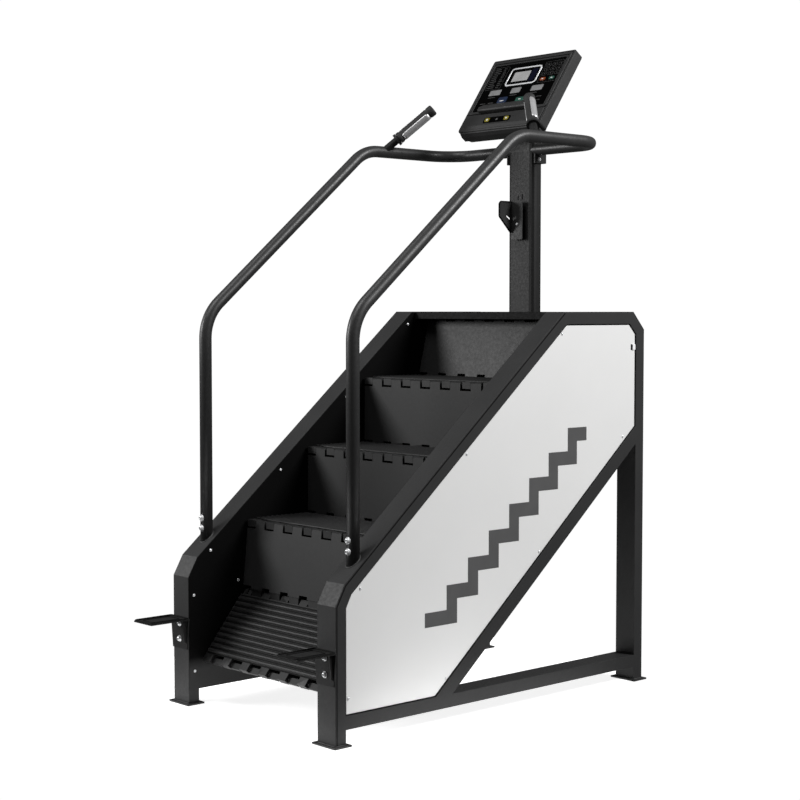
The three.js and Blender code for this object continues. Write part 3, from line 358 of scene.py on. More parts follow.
class Piece:
    """Collects closed shells into one mesh object."""

    def __init__(self, name, material, body="base"):
        self.name = name
        self.material = material
        self.body = body
        self.mesh = bmesh.new()

    def shell(self, verts, faces, smooth=False):
        made = [self.mesh.verts.new(v) for v in verts]
        self.mesh.verts.ensure_lookup_table()
        for face in faces:
            new = self.mesh.faces.new([made[i] for i in face])
            new.smooth = smooth
        return self

    def prism(self, outline, origin, u, v, depth):
        """A flat outline in the plane of u and v, given depth along u x v."""
        out = u.cross(v).normalized() * depth
        base = [origin + u * a + v * b for a, b in outline]
        count = len(base)
        verts = base + [p + out for p in base]
        faces = [tuple(range(count))[::-1], tuple(range(count, 2 * count))]
        faces += [(i, (i + 1) % count, count + (i + 1) % count, count + i) for i in range(count)]
        return self.shell(verts, faces)

    def ring(self, outer, inner, origin, u, v, depth):
        """As prism, with a hole of as many corners."""
        out = u.cross(v).normalized() * depth
        count = len(outer)
        loops = [[origin + u * a + v * b for a, b in loop] for loop in (outer, inner)]
        verts = loops[0] + loops[1] + [p + out for p in loops[0]] + [p + out for p in loops[1]]
        faces = []
        for i in range(count):
            j = (i + 1) % count
            faces.append((j, i, count + i, count + j))
            faces.append((2 * count + i, 2 * count + j, 3 * count + j, 3 * count + i))
            faces.append((i, j, 2 * count + j, 2 * count + i))
            faces.append((count + j, count + i, 3 * count + i, 3 * count + j))
        return self.shell(verts, faces)

    def lathe(self, profile, origin, axis, steps=20):
        """A profile of (radius, height) pairs from axis to axis, turned about axis."""
        axis = axis.normalized()
        side = axis.orthogonal().normalized()
        other = axis.cross(side)
        verts = []
        rows = []
        for radius, height in profile:
            if radius < 1e-9:
                rows.append([len(verts)])
                verts.append(origin + axis * height)
                continue
            rows.append(list(range(len(verts), len(verts) + steps)))
            for k in range(steps):
                angle = 2 * math.pi * k / steps
                spoke = side * math.cos(angle) + other * math.sin(angle)
                verts.append(origin + axis * height + spoke * radius)
        faces = []
        for low, high in zip(rows, rows[1:]):
            for k in range(steps):
                n = (k + 1) % steps
                if len(low) == 1:
                    faces.append((low[0], high[n], high[k])[::-1])
                elif len(high) == 1:
                    faces.append((low[k], low[n], high[0]))
                else:
                    faces.append((low[k], low[n], high[n], high[k]))
        return self.shell(verts, faces, smooth=True)

    def sweep(self, path, section, closed=False, up=None):
        """A closed section of (a, b) pairs carried along a path of points."""
        count = len(path)
        rings = []
        normal = up
        for i, here in enumerate(path):
            before = path[(i - 1) % count] if closed or i else here
            after = path[(i + 1) % count] if closed or i < count - 1 else here
            tangent = (after - before).normalized()
            if normal is None:
                normal = tangent.orthogonal()
            normal = (normal - tangent * normal.dot(tangent)).normalized()
            side = tangent.cross(normal)
            rings.append([here + normal * a + side * b for a, b in section])
        size = len(section)
        verts = [v for one in rings for v in one]
        faces = []
        for i in range(count if closed else count - 1):
            j = (i + 1) % count
            for k in range(size):
                n = (k + 1) % size
                faces.append((i * size + k, i * size + n, j * size + n, j * size + k))
        if not closed:
            faces.append(tuple(range(size))[::-1])
            faces.append(tuple((count - 1) * size + k for k in range(size)))
        return self.shell(verts, faces, smooth=True)

    def done(self, bevel=0.0, replaces=(), slot=None):
        """Turns the collected shells into an object that rides its body."""
        bmesh.ops.recalc_face_normals(self.mesh, faces=self.mesh.faces)
        data = bpy.data.meshes.new(self.name)
        self.mesh.to_mesh(data)
        self.mesh.free()
        obj = bpy.data.objects.new(self.name, data)
        bpy.context.scene.collection.objects.link(obj)
        data.materials.append(self.material)
        if bevel:
            soften(obj, bevel)
        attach(obj, self.body)
        if replaces:
            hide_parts(*replaces)
        return obj


SHARP_ANGLE = math.radians(32)


def soften(obj, width, segments=2):
    """Rounds an object's sharp edges."""
    mod = obj.modifiers.new("edge", "BEVEL")
    mod.limit_method = "ANGLE"
    mod.angle_limit = SHARP_ANGLE
    mod.width = width
    mod.segments = segments
    mod.use_clamp_overlap = True
    mod.harden_normals = False


def circle(radius, steps=24):
    return [
        (radius * math.cos(2 * math.pi * k / steps), radius * math.sin(2 * math.pi * k / steps))
        for k in range(steps)
    ]


def rounded(x0, x1, y0, y1, radius, steps=4):
    """A rectangle with round corners, anticlockwise."""
    corners = ((x1, y1, 0), (x0, y1, 90), (x0, y0, 180), (x1, y0, 270))
    points = []
    for cx, cy, start in corners:
        centre = (
            cx - math.copysign(radius, cx - (x0 + x1) / 2),
            cy - math.copysign(radius, cy - (y0 + y1) / 2),
        )
        for k in range(steps + 1):
            angle = math.radians(start + 90 * k / steps)
            points.append((centre[0] + radius * math.cos(angle), centre[1] + radius * math.sin(angle)))
    return points


def bent(corners, radii, steps=12):
    """Straight runs joined by round bends, as a list of points."""
    path = [corners[0]]
    for before, corner, after, radius in zip(corners, corners[1:], corners[2:], radii):
        back = (before - corner).normalized()
        ahead = (after - corner).normalized()
        half = back.angle(ahead) / 2
        middle = (back + ahead).normalized()
        centre = corner + middle * (radius / math.sin(half))
        start = corner + back * (radius / math.tan(half)) - centre
        axis = start.cross(-middle).normalized()
        sweep = math.pi - 2 * half
        for k in range(steps + 1):
            path.append(centre + Matrix.Rotation(sweep * k / steps, 3, axis) @ start)
    path.append(corners[-1])
    return path


# ---------- CAD nodes: finishes and softened edges ----------

MERGE_DISTANCE = 0.02 * MM
PLAIN_EDGE = (0.4, 1)
SPECIAL = {"inner_panel": INNER_PANEL_SHADE, "frame": FRAME_COAT_PAINTED_LIGHT}
SLOT_OF = {row["node"]: row["material_slot"] for row in frame["record"]["subparts"]}
# Bevel width in mm and its segments, by the start of a node's name.
EDGE = {
    "frame": (4.0, 4), "mast": (1.5, 2), "cross": (3.0, 3), "tread": (1.2, 2), "riser": (1.2, 2),
    "console_housing": (3.0, 3), "console_back": (3.0, 3), "top": (0.8, 2), "side": (0.6, 2),
    "entry": (1.2, 2), "reading": (1.5, 2), "display_bezel": (0.7, 2), "handrail_saddle": (2.0, 3),
}
for name, obj in frame["nodes"].items():
    obj.data.materials.clear()
    kind = name.rsplit("_", 1)[0]
    obj.data.materials.append(SPECIAL.get(kind, MATERIALS[SLOT_OF[name]]))
    merge = obj.modifiers.new("weld", "WELD")
    merge.merge_threshold = MERGE_DISTANCE
    width, segments = PLAIN_EDGE
    for prefix, edge in EDGE.items():
        if name.startswith(prefix):
            width, segments = edge
    soften(obj, width * MM, segments)

# ---------- handrail ----------

POST_FOOT_Z = SLOPE_FOOT[1] + math.tan(SLOPE) * (RAIL_POST_Y - SLOPE_FOOT[0])
RAIL_SIDE = (
    (RAIL_POST_Y, POST_FOOT_Z - RAIL_SINK), (RAIL_POST_Y, RAIL_BEND_Z),
    (RAIL_ARM_Y, ARM_Z), (REAR_Y, ARM_Z),
)
rail_corners = [point(RAIL_X, y, z) for y, z in RAIL_SIDE]
rail_corners += [point(-RAIL_X, y, z) for y, z in reversed(RAIL_SIDE)]
rail_bends = (POST_BEND, POST_BEND, REAR_BEND, REAR_BEND, POST_BEND, POST_BEND)
rail_path = bent(rail_corners, [r * MM for r in rail_bends])
rail = Piece("handrail_tube", RAIL_COAT_PAINTED_LIGHT)
rail.sweep(rail_path, circle(RAIL_R * MM, 32), up=RIGHT)
rail.done(replaces=("handrail",))


def weld_ring(piece, centre, normal, radius_a, radius_b, along, bead, steps=36):
    """A bead of weld round a tube that lands on a face."""
    other = normal.cross(along).normalized()
    path = []
    for k in range(steps):
        angle = 2 * math.pi * k / steps
        path.append(centre + along * (radius_a * math.cos(angle)) + other * (radius_b * math.sin(angle)))
    piece.sweep(path, circle(bead, 8), closed=True, up=normal)


WELD_GAP = 0.8
FOOT_WELD_GAP = 1.5
POST_BEAD = 2.2 * MM
FOOT_BEAD = 1.7 * MM
welds = Piece("frame_welds", WELD)
slope_dir = Vector((0, math.cos(SLOPE), math.sin(SLOPE)))
slope_normal = Vector((0, -math.sin(SLOPE), math.cos(SLOPE)))
foot_x = LEG_WIDTH / 2 + FOOT_WELD_GAP
foot_y = LEG_DEPTH / 2 + FOOT_WELD_GAP
foot_outline = in_metres(rounded(-foot_x, foot_x, -foot_y, foot_y, 5, 3))
for side in (-1, 1):
    foot = point(side * RAIL_X, RAIL_POST_Y, POST_FOOT_Z)
    reach = (RAIL_R + WELD_GAP) * MM
    weld_ring(welds, foot, slope_normal, reach / math.cos(SLOPE), reach, slope_dir, POST_BEAD)
    for y0 in (0, REAR_LEG_Y):
        centre = point(side * RAIL_X, y0 + LEG_DEPTH / 2, FOOT_PLATE_TOP)
        path = [centre + Vector((a, b, 0)) for a, b in foot_outline]
        welds.sweep(path, circle(FOOT_BEAD, 8), closed=True, up=RAISED)
welds.done()

# ---------- painted shade along the outer corner of each frame ---

CORNER_SHADE_LINE = [(0, 6), LEG_TOP, SLOPE_FOOT, SLOPE_HEAD]
CORNER_SHADE_INSET = 4.2
CORNER_SHADE_WIDTH = 4.0


def shifted(line, distance):
    """An open line in the Y-Z plane moved to its right-hand side."""
    normals = []
    for (y0, z0), (y1, z1) in zip(line, line[1:]):
        normals.append(Vector((z1 - z0, y0 - y1)).normalized())
    moved = []
    for i, (y, z) in enumerate(line):
        first = normals[max(i - 1, 0)]
        second = normals[min(i, len(normals) - 1)]
        offset = (first + second) * (distance / (1 + first.dot(second)))
        moved.append((y + offset.x, z + offset.y))
    return moved


def on_side(piece, side, face, outline, depth):
    """An outline of (y, z) in mm, laid on an outward face of one side and given depth."""
    flat = [(y * side * MM, z * MM) for y, z in outline][::side]
    piece.prism(flat, point(side * face, 0, 0), Vector((0, side, 0)), RAISED, depth * MM)


# A near-black band on the rounded outer corner paints the shade that falls there.
corner_shade = Piece("frame_corner_shade", SHADOW_TRIM)
for side in (-1, 1):
    band = shifted(CORNER_SHADE_LINE, CORNER_SHADE_INSET) + shifted(CORNER_SHADE_LINE, CORNER_SHADE_INSET + CORNER_SHADE_WIDTH)[::-1]
    on_side(corner_shade, side, FRAME_FACE - 0.1, band, 0.3)
corner_shade.done()

# ---------- grips ----------

GRIP_FOOT = (360, 860, 1797)
GRIP_TIP = (226, 975, 1942)


def grip_point(side, t):
    x, y, z = (a + (b - a) * t for a, b in zip(GRIP_FOOT, GRIP_TIP))
    return point(side * x, y, z)


GRIP_RADIUS = 17.8 * MM
SLEEVE_START = 0.315
# The sleeve's outline in mm: what is added to its radius, and the way from its start or its end.
SLEEVE_COLLAR = ((1, 0), (2.2, 2), (2.2, 10), (1, 12.5), (0, 14))
SLEEVE_TIP = ((0, -22), (1.6, -20), (1.8, -5), (0, -1.2))
CONTACT_TURN = 47
CONTACT_HALF_ANGLE = 52
CONTACT_COLUMNS = 12
CONTACT_ROWS = 9
SIDES = ((-1, "left"), (1, "right"))


def contact_plate(piece, origin, axis, side, facing, along, radii):
    """A thin curved plate round the sleeve: an inner and an outer skin and the edges between them."""
    cross = axis.cross(RAISED).normalized()
    rise = cross.cross(axis).normalized()
    verts, faces = [], []
    columns, rows = CONTACT_COLUMNS, CONTACT_ROWS
    for radius in radii:
        for i in range(columns + 1):
            place = along[0] + (along[1] - along[0]) * i / columns
            pull = math.sqrt(max(0.0, 1 - ((i / columns - 0.5) * 2) ** 16))
            for j in range(rows + 1):
                swing = CONTACT_HALF_ANGLE * (2 * j / rows - 1) * (0.8 + 0.2 * pull)
                angle = math.radians(side * CONTACT_TURN + swing)
                ray = (cross * math.cos(angle) + rise * math.sin(angle)) * facing
                verts.append(origin + axis * place + ray * radius)
    size = (columns + 1) * (rows + 1)

    def at(layer, i, j):
        return layer * size + i * (rows + 1) + j

    for i in range(columns):
        for j in range(rows):
            faces.append((at(1, i, j), at(1, i + 1, j), at(1, i + 1, j + 1), at(1, i, j + 1)))
            faces.append((at(0, i, j + 1), at(0, i + 1, j + 1), at(0, i + 1, j), at(0, i, j)))
    for i in range(columns):
        faces.append((at(0, i, 0), at(0, i + 1, 0), at(1, i + 1, 0), at(1, i, 0)))
        faces.append((at(1, i, rows), at(1, i + 1, rows), at(0, i + 1, rows), at(0, i, rows)))
    for j in range(rows):
        faces.append((at(0, 0, j + 1), at(0, 0, j), at(1, 0, j), at(1, 0, j + 1)))
        faces.append((at(0, columns, j), at(0, columns, j + 1), at(1, columns, j + 1), at(1, columns, j)))
    piece.shell(verts, faces, smooth=True)


for side, label in SIDES:
    foot, tip = grip_point(side, 0), grip_point(side, 1)
    axis = (tip - foot).normalized()
    length = (tip - foot).length
    sleeve = Piece(f"grip_{label}_body", MATERIALS["rubber"])
    start = length * SLEEVE_START
    r = GRIP_RADIUS
    profile = [(0, start)]
    profile += [(r + a * MM, start + b * MM) for a, b in SLEEVE_COLLAR]
    profile += [(r + a * MM, length + b * MM) for a, b in SLEEVE_TIP]
    profile += [(r * 0.82, length), (0, length + 0.8 * MM)]
    sleeve.lathe(profile, foot, axis, 32)
    sleeve.done(replaces=(f"grip_sleeve_{label}",))
    # Bright contact plates wrap the two broad sides of the sleeve.
    plates = Piece(f"grip_{label}_contacts", CONTACT)
    along = (start + 18 * MM, length - 26 * MM)
    radii = (r - 1 * MM, r + 1.6 * MM)
    for facing in (-1, 1):
        contact_plate(plates, foot, axis, side, facing, along, radii)
    plates.done()

# ---------- bolts and screws ----------

# Profiles of (radius, height) for a head of radius 1.
DOME_HEAD = (
    (0, 0), (1.28, 0), (1.28, 0.14), (1.02, 0.2), (1, 0.3), (0.93, 0.62), (0.74, 0.86), (0.5, 0.98),
    (0.46, 0.98), (0.44, 0.6), (0, 0.55),
)
PAN_HEAD = ((0, 0), (1, 0), (1, 0.25), (0.85, 0.5), (0.45, 0.68), (0.3, 0.68), (0.22, 0.4), (0, 0.36))


def dome_bolt(piece, centre, normal, radius):
    """A domed cap bolt on a washer, with a socket."""
    piece.lathe([(a * radius, b * radius) for a, b in DOME_HEAD], centre, normal, 18)


def pan_screw(piece, centre, normal, radius):
    piece.lathe([(a * radius, b * radius) for a, b in PAN_HEAD], centre, normal, 12)


# Heights of the bolts on the rail posts and on the entry steps' brackets, and two bolts' places.
POST_BOLTS = (586, 553.5)
ENTRY_BOLTS = (258, 209)
SADDLE_BOLT = (66.8, REAR_Y + 3, 1764)
HOLDER_BOLT = (4, HOLDER_FACE - 0.3, 1544)
bolts = Piece("frame_bolts", CHROME)
for side in (-1, 1):
    for z in POST_BOLTS:
        dome_bolt(bolts, point(side * RAIL_X, RAIL_POST_Y - RAIL_R + 1.0, z), FRONT, 8.5 * MM)
    for z in ENTRY_BOLTS:
        dome_bolt(bolts, point(side * RAIL_X, ENTRY_FACE, z), FRONT, 8 * MM)
    dome_bolt(bolts, point(side * SADDLE_BOLT[0], *SADDLE_BOLT[1:]), RIGHT * side, 5.5 * MM)
dome_bolt(bolts, point(*HOLDER_BOLT), FRONT, 4.5 * MM)
bolts.done()

# Screws by their place (y, z) on the inner and outer panels, and (x, z) on the rear cover.
INNER_SCREWS = ((20, 349), (22, 107), (86, 486), (195, 379), (370, 725), (938, 1200), (655, 955))
PANEL_SCREWS = ((98, 450), (52, 137), (440, 139), (849, 484), (1254, 830), (953, 1174), (526, 813))
REAR_SCREWS = [(x, z) for x in (-290, 0, 290) for z in (875, 1140)]
screws = Piece("panel_screws", CHROME)
for side in (-1, 1):
    out = RIGHT * side
    for y, z in PANEL_SCREWS:
        pan_screw(screws, point(side * PANEL_FACE, y, z), out, 4.6 * MM)
    for y, z in INNER_SCREWS:
        pan_screw(screws, point(side * INNER_FACE, y, z), -out, 5.0 * MM)
for x, z in REAR_SCREWS:
    pan_screw(screws, point(x, REAR_COVER_FACE, z), REAR, 4.5 * MM)
screws.done()

# A small bright catch holds the rear edge of each white panel; a near-black strip before it is painted
# shade.
CATCH_LOW = 1117
CATCH_HIGH = 1136
CATCH_PARTS = (
    ("panel_catches", CATCH, 1299.5, 1313, 2.6),
    ("panel_catch_tongues", SHADOW_TRIM, 1292, 1299, 1.2),
)
for name, material, near, far, depth in CATCH_PARTS:
    catches = Piece(name, material)
    for side in (-1, 1):
        on_side(catches, side, PANEL_FACE, rounded(near, far, CATCH_LOW, CATCH_HIGH, 1.5, 2), depth)
    catches.done(bevel=0.4 * MM)

# ---------- side panel graphic: a plain rising stair stripe ----------

STRIPE_START = (352, 302)
STRIPE_RUN = 90
STRIPE_RISE = 75
STRIPE_STEPS = 7
STRIPE_WIDTH = 44


def stair_stripe():
    """A zigzag band of treads and risers, as one outline."""
    run, rise, width = STRIPE_RUN, STRIPE_RISE, STRIPE_WIDTH
    lower = [(0, 0)]
    upper = [(0, width)]
    for k in range(STRIPE_STEPS):
        edge = (k + 1) * run
        lower += [(edge + width, k * rise), (edge + width, (k + 1) * rise)]
        upper += [(edge, k * rise + width), (edge, (k + 1) * rise + width)]
    end = (STRIPE_STEPS + 1) * run
    return lower + [(end, STRIPE_STEPS * rise), (end, STRIPE_STEPS * rise + width)] + upper[::-1]


for side, label in SIDES:
    decal = Piece(f"panel_graphic_{label}", DECAL)
    corners = [(a * MM * side, b * MM) for a, b in stair_stripe()][::side]
    origin = point(side * (PANEL_FACE - 0.1), *STRIPE_START)
    decal.prism(corners, origin, Vector((0, side, 0)), RAISED, 0.5 * MM)
    decal.done()

# ---------- slats: tread ribs ----------

TREAD_DEPTH = 250.0
RISER_HEIGHT = math.hypot(1.5, STEP_RISE)
TOP_VALLEY = (996, 1005)

# The way each slat points where the chain turns over its two ends, in degrees from level.
RISER_0_WAY = 76.6
RISER_3_WAY = 264.5
TREAD_4_WAY = 231.3
RISER_4_WAY = 1.6


def step(p, degrees, distance):
    angle = math.radians(degrees)
    return (p[0] + distance * math.cos(angle), p[1] + distance * math.sin(angle))


def heading(a, b):
    return math.degrees(math.atan2(b[1] - a[1], b[0] - a[0]))


# Tread k runs from nose k back to valley k - 1, and riser k from nose k down to valley k.
valley = {k: (TOP_VALLEY[0] - STEP_GOING * k, TOP_VALLEY[1] - STEP_RISE * k) for k in range(3)}
nose = {k + 1: (y - TREAD_DEPTH, z) for k, (y, z) in valley.items()}
nose[0] = step(valley[0], RISER_0_WAY, RISER_HEIGHT)
valley[3] = step(nose[3], RISER_3_WAY, RISER_HEIGHT)
nose[4] = step(valley[3], TREAD_4_WAY, TREAD_DEPTH)
valley[4] = step(nose[4], RISER_4_WAY, RISER_HEIGHT)
climb_way = math.degrees(CLIMB)
for k in (5, 6):
    nose[k] = step(valley[k - 1], climb_way, TREAD_DEPTH)
    valley[k] = step(nose[k], climb_way, RISER_HEIGHT)
span = math.dist(valley[6], nose[0])
bulge = math.degrees(math.acos((span - RISER_HEIGHT) / 2 / TREAD_DEPTH))
closing_way = heading(nose[0], valley[6])
valley[7] = step(nose[0], closing_way + bulge, TREAD_DEPTH)
nose[7] = step(valley[6], closing_way + 180 - bulge, TREAD_DEPTH)
nose[8] = nose[0]

TREAD_BODY = {k: "stair_run" for k in (1, 2, 3)}
TREAD_BODY.update({k: "return_run" for k in (5, 6, 7)})
TREAD_BODY.update({4: "tread_4", 8: "tread_8"})

SLAT_TOP = 14
RIB_COUNT = 11
RIB_START = 24
RIB_PITCH = 19.5
RIB_WIDTH = 12
RIB_HEIGHT = 5.0
RIB_HALF_LENGTH = 306
GROOVE_SHADE_SECTION = ((-2.6, -0.5), (2.6, -0.5), (2.6, 0.35), (-2.6, 0.35))
RIB_PLACES = [RIB_START + RIB_PITCH * i for i in range(RIB_COUNT)]
GROOVE_SHADE_PLACES = [RIB_START + RIB_PITCH * (i - 0.5) for i in range(RIB_COUNT + 1)]


def rib_section():
    """A half oval on a flat foot."""
    turns = [math.radians(t) for t in range(15, 180, 15)]
    crown = [(math.cos(t) * RIB_WIDTH / 2, math.sin(t) * RIB_HEIGHT) for t in turns]
    return [(-RIB_WIDTH / 2, -0.5), (RIB_WIDTH / 2, -0.5)] + crown


def tread_lines(piece, k, section, places):
    """Lays a section across tread k at each of these distances from its nose."""
    start, finish = nose[k], valley[k - 1]
    u = Vector((0, finish[0] - start[0], finish[1] - start[1])).normalized()
    v = Vector((0, -u.z, u.y))
    for place in places:
        origin = point(-RIB_HALF_LENGTH, *start) + u * (place * MM) + v * (SLAT_TOP * MM)
        piece.prism(in_metres(section), origin, u, v, 2 * RIB_HALF_LENGTH * MM)
    piece.done()


for k in range(1, 9):
    ribs = Piece(f"tread_{k}_ribs", MATERIALS["slat"], TREAD_BODY[k])
    tread_lines(ribs, k, rib_section(), RIB_PLACES)
    # Near-black strips between the ribs paint the shade in the grooves.
    groove_shade = Piece(f"tread_{k}_grooves", SHADOW_TRIM, TREAD_BODY[k])
    tread_lines(groove_shade, k, GROOVE_SHADE_SECTION, GROOVE_SHADE_PLACES)

# ---------- console ----------

DOWN = Vector((0, -math.cos(CONSOLE_TILT), -math.sin(CONSOLE_TILT)))
UP = -DOWN
OUT = Vector((0, -math.sin(CONSOLE_TILT), math.cos(CONSOLE_TILT)))


def on_console(x, s, n):
    """A point x across, s down the console's face from its top, and n out of it, in mm."""
    return point(*CONSOLE_ORIGIN) + RIGHT * (x * MM) + DOWN * (s * MM) + OUT * (n * MM)


def console_outline(x0, x1, s0, s1, radius):
    return in_metres(rounded(x0, x1, -s1, -s0, radius, 4))


def console_plate(piece, x0, x1, s0, s1, n0, n1, radius=2.0):
    outline = console_outline(x0, x1, s0, s1, radius)
    return piece.prism(outline, on_console(0, 0, n0), RIGHT, UP, (n1 - n0) * MM)


def console_ring(piece, x0, x1, s0, s1, n0, n1, radius, wall):
    outer = console_outline(x0, x1, s0, s1, radius)
    inner = console_outline(x0 + wall, x1 - wall, s0 + wall, s1 - wall, max(radius - wall, 0.4))
    return piece.ring(outer, inner, on_console(0, 0, n0), RIGHT, UP, (n1 - n0) * MM)


# Numbers below are the reach of each shape in mm: across, down, out, then its corner radius and,
# for a ring, its wall.
rims = Piece("console_rims", MATERIALS["black_plastic"])
console_ring(rims, -185, 185, 15, 252, -0.2, 2.2, 8, 9)
console_ring(rims, -174, 174, 28, 246, -0.2, 1.4, 5, 5)
rims.done(bevel=0.8 * MM)
# Near-black rings beside the rims paint the shade in the grooves there.
groove_shade = Piece("console_groove_shade", SHADOW_TRIM)
console_ring(groove_shade, -177, 177, 24, 248, -0.2, 0.3, 6, 4)
console_ring(groove_shade, -188, 188, 11.5, 254.5, -0.2, 0.2, 8, 3)
groove_shade.done()
WINDOWS = ((-128, -74), (-25, 19), (70, 122))
WINDOW_TOP = 149
WINDOW_FOOT = 172
FRAME_GAP = 1.2
windows = Piece("console_windows", WINDOW)
for x0, x1 in WINDOWS:
    console_plate(windows, x0, x1, WINDOW_TOP, WINDOW_FOOT, -0.2, 0.35, 3)
windows.done()

frames = Piece("console_window_frames", PRINT)
for x0, x1 in WINDOWS:
    top, foot = WINDOW_TOP - FRAME_GAP, WINDOW_FOOT + FRAME_GAP
    console_ring(frames, x0 - FRAME_GAP, x1 + FRAME_GAP, top, foot, -0.2, 0.5, 4, 0.9)
frames.done()

# Two columns of printed lines: where a line starts, its least length and what may be added.
PRINT_COLUMNS = ((-157, 22, 14), (-116, 12, 6))
PRINT_ROWS = 10
prints = Piece("console_markings", PRINT)
for row in range(PRINT_ROWS):
    s = 50 + row * 9.2
    for x, least, more in PRINT_COLUMNS:
        console_plate(prints, x, x + least + more * random.random(), s, s + 2.2, 0, 0.15, 0.8)
console_ring(prints, -163, -92, 43, 143, 0, 0.15, 5, 0.7)
for x in (88, 116, 144):
    for s in (54, 74, 94):
        console_ring(prints, x, x + 22, s, s + 14, 0, 0.25, 4, 0.8)
        console_plate(prints, x + 8, x + 14, s + 5.5, s + 8.5, 0, 0.2, 1.2)
console_ring(prints, 82, 166, 46, 138, 0, 0.15, 5, 0.7)
for x0 in (-126, -22, 72):
    console_plate(prints, x0, x0 + 34, 180, 182, 0, 0.15, 0.6)
for x0, s in ((-150, 205), (-112, 205), (78, 200), (112, 200), (78, 216), (112, 216)):
    console_plate(prints, x0, x0 + 26, s, s + 2, 0, 0.15, 0.6)
prints.done()

shade = Piece("display_surround", MATERIALS["gloss_panel"])
shade_outer = console_outline(-67, 65, 63, 130, 8)
shade_inner = console_outline(-50, 27, 76, 119, 2)
shade.ring(shade_outer, shade_inner, on_console(0, 0, 0.3), RIGHT, UP, 0.65 * MM)
shade.done(bevel=0.2 * MM)
blue_glass = Piece("display_blue_panel", BLUE_GLASS)
console_plate(blue_glass, 31, 58, 70, 124, 0.9, 1.15, 6)
blue_glass.done()

strip = Piece("quick_key_strip", MATERIALS["gloss_panel"])
console_plate(strip, -82, 45, 276, 301, 3.7, 4.15, 8)
strip.done(bevel=0.2 * MM)
strip_lines = Piece("quick_key_markings", PRINT)
console_plate(strip_lines, -24, -14, 284, 292, 4.1, 4.5, 2)
strip_lines.done()

# ---------- legends and painted highlights on the keys ---

# Pale marks: painted highlights on the stop and start keys, printed legends on the others.
# By key: the middle of the legend across and down, its width and height, and the key's base.
LEGENDS_AND_HIGHLIGHTS = {
    "stop_key": (103, 124, 8, 4, 0),
    "start_key": (144, 124, 8, 4, 0),
    "slower_key": (-47, 203, 20, 3, 0),
    "faster_key": (40, 205, 12, 3, 0),
    "quick_key_left": (-64, 288, 8, 6, 4),
    "quick_key_right": (27, 288, 8, 6, 4),
}
KEY_FACE = 1.75
for key, (x, s, width, height, level) in LEGENDS_AND_HIGHLIGHTS.items():
    legend_and_highlight = Piece(f"{key}_legend", LEGEND_AND_HIGHLIGHT, key)
    face = level + KEY_FACE
    x0, x1 = x - width / 2, x + width / 2
    s0, s1 = s - height / 2, s + height / 2
    console_plate(legend_and_highlight, x0, x1, s0, s1, face, face + 0.3, 1.4)
    legend_and_highlight.done()

# ---------- bottle holder: a rolled rim along its wing and slot, and two slots in the mast, near black as painted shade ---

HOLDER_SIDE = -24
WING_LINE = ((1, 1621), (52, 1621), (59, 1614), (59, 1571), (4, 1517))
WING_BENDS = (6, 6, 10)
WING_SLOT = ((6, 1556), (6, 1567), (26, 1579), (26, 1569))


def on_wing(line):
    """Points of a line on the holder's wing, from (distance before its plate, height) in mm."""
    return [point(HOLDER_SIDE, HOLDER_FACE - depth, z) for depth, z in line]


# The rim is near black: painted shade along the wing's rolled edge and round its slot.
holder_rim_shade = Piece("bottle_holder_rim_shade", SHADOW_TRIM)
wing_path = bent(on_wing(WING_LINE), [r * MM for r in WING_BENDS], 5)
holder_rim_shade.sweep(wing_path, circle(3.0 * MM, 12), up=RIGHT)
holder_rim_shade.sweep(on_wing(WING_SLOT), circle(2.2 * MM, 8), closed=True, up=RIGHT)
holder_rim_shade.done()

# Painted shade in two slots in the mast's face, by their middle, width and height, and a ring of painted
# shade round the holder's bolt.
MAST_SLOTS = ((-9, 3, 14), (11, 5, 18))
SLOT_FOOT = 1629
BOLT_SHADE_RING = ((0, 0), (8, 0), (8, 0.5), (0, 0.5))
mast_slot_shade = Piece("mast_slot_shade", SHADOW_TRIM)
for x, width, height in MAST_SLOTS:
    outline = rounded(x - width / 2, x + width / 2, SLOT_FOOT, SLOT_FOOT + height, 1.4, 3)
    mast_slot_shade.prism(in_metres(outline), point(0, MAST_FRONT + 0.4, 0), RIGHT, RAISED, 1.2 * MM)
bolt_shade_place = point(HOLDER_BOLT[0], HOLDER_FACE + 0.1, HOLDER_BOLT[2])
mast_slot_shade.lathe(in_metres(BOLT_SHADE_RING), bolt_shade_place, FRONT, 24)
mast_slot_shade.done()

# ---------- entry steps: raised rims round the foot plate, near black as painted shade ---

# Each rim's half width, near and far edges, corner radius, height and bead radius.
ENTRY_RIMS = ((47, -144, -4, 9, 278.2, 2.4), (30, -126, -26, 8, 277.6, 1.8))
rim_shade = Piece("entry_step_rim_shade", SHADOW_TRIM)
for side in (-1, 1):
    x = side * RAIL_X
    for half, near, far, corner, height, bead in ENTRY_RIMS:
        outline = rounded(x - half, x + half, near, far, corner, 4)
        path = [point(a, b, height) for a, b in outline]
        rim_shade.sweep(path, circle(bead * MM, 8), closed=True, up=RAISED)
rim_shade.done()

# ---------- rear details ----------

PIN_PROFILE = ((0, 0), (1.6, 0), (1.6, 4), (0.9, 5), (0, 5))
PIN_PLACES = ((-8, -3), (8, -3), (0, 6))
inlet = mid("power_inlet")
inlet_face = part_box("power_inlet")[1][1]
pins = Piece("inlet_pins", BRASS_PIN)
for dx, dz in PIN_PLACES:
    foot = Vector((inlet.x + dx * MM, inlet_face, inlet.z + dz * MM))
    pins.lathe(in_metres(PIN_PROFILE), foot, REAR, 10)
pins.done()

# ---------- floor, light, camera ----------

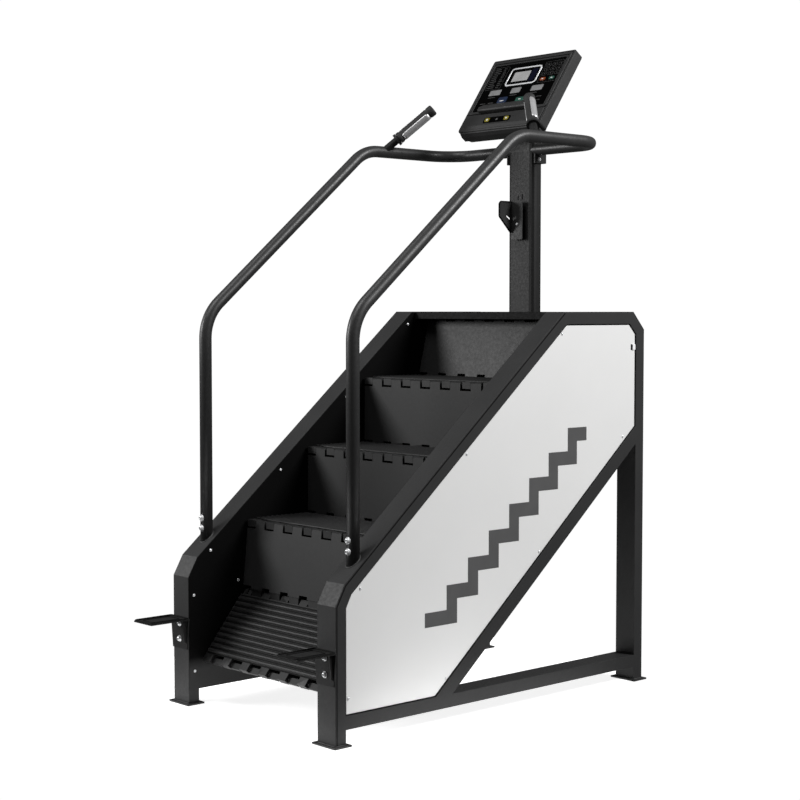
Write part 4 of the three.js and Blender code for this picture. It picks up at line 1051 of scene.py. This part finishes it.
WHITE = (1, 1, 1, 1)
FLOOR_RADIUS = 0.95
FLOOR_SCALE = (0.86, 1, 1)
FLOOR_PLACE = (-0.18, 0, -0.0005)
FLOOR_GLOW = 0.84
ROOM_LIGHT = 0.12
BACKDROP_LIGHT = 1.02
CAMERA_PLACE = (4.0251, -3.6615, 1.2523)
CAMERA_DIP = 0.0539
CAMERA_TURN = 0.8325
CAMERA_LENS = 75.67


def floor_material():
    """A matt pale floor with a glow of its own, which lets it fade into the backdrop."""
    mat, tree, shader = node_material("floor_pale")
    drift = noise(tree, coordinates(tree), 1.5, 3)
    pale = colour_mix(tree, drift, (0.93, 0.93, 0.93), (0.95, 0.95, 0.95))
    tree.links.new(pale, shader.inputs["Base Color"])
    shader.inputs["Roughness"].default_value = 0.9
    shader.inputs["Specular IOR Level"].default_value = 0.0
    shader.inputs["Emission Color"].default_value = WHITE
    shader.inputs["Emission Strength"].default_value = FLOOR_GLOW
    return mat


def studio_world():
    """A dim even light from all round, behind which the backdrop is white."""
    world = bpy.data.worlds.new("studio_world")
    world.use_nodes = True
    tree = world.node_tree
    room = tree.nodes["Background"]
    room.inputs["Color"].default_value = WHITE
    room.inputs["Strength"].default_value = ROOM_LIGHT
    backdrop = add_node(tree, "ShaderNodeBackground", Color=WHITE, Strength=BACKDROP_LIGHT)
    seen = add_node(tree, "ShaderNodeLightPath")
    chosen = add_node(tree, "ShaderNodeMixShader")
    tree.links.new(seen.outputs["Is Camera Ray"], chosen.inputs["Fac"])
    tree.links.new(room.outputs["Background"], chosen.inputs[1])
    tree.links.new(backdrop.outputs["Background"], chosen.inputs[2])
    tree.links.new(chosen.outputs["Shader"], tree.nodes["World Output"].inputs["Surface"])
    return world


bpy.ops.mesh.primitive_circle_add(
    vertices=96, radius=FLOOR_RADIUS, fill_type="NGON", location=FLOOR_PLACE
)
floor = bpy.context.object
floor.scale = FLOOR_SCALE
floor.name = "studio_floor"
floor.data.materials.append(floor_material())

scene = bpy.context.scene
scene.view_settings.view_transform = "Standard"
scene.world = studio_world()


def area_light(name, place, target, size, power):
    """A round lamp at a place in metres, turned to its target, with its power in watts."""
    data = bpy.data.lights.new(name, "AREA")
    data.shape = "DISK"
    data.size = size
    data.energy = power
    light = bpy.data.objects.new(name, data)
    scene.collection.objects.link(light)
    light.location = place
    light.rotation_euler = (Vector(target) - Vector(place)).to_track_quat("-Z", "Y").to_euler()


area_light("key", (-4.3, -4.8, 2.7), (0, 0, 1.0), 2.7, 285)
area_light("side", (4.2, 2.2, 4.4), (0, 0, 1.2), 2.4, 340)
area_light("top", (-0.2, -2.4, 5.2), (0, 0, 1.0), 2.4, 105)

camera_data = bpy.data.cameras.new("camera")
camera_data.sensor_width = 36
camera_data.lens = CAMERA_LENS
camera = bpy.data.objects.new("camera", camera_data)
scene.collection.objects.link(camera)
camera.location = CAMERA_PLACE
camera.rotation_euler = (math.pi / 2 - CAMERA_DIP, 0, CAMERA_TURN)
scene.camera = camera
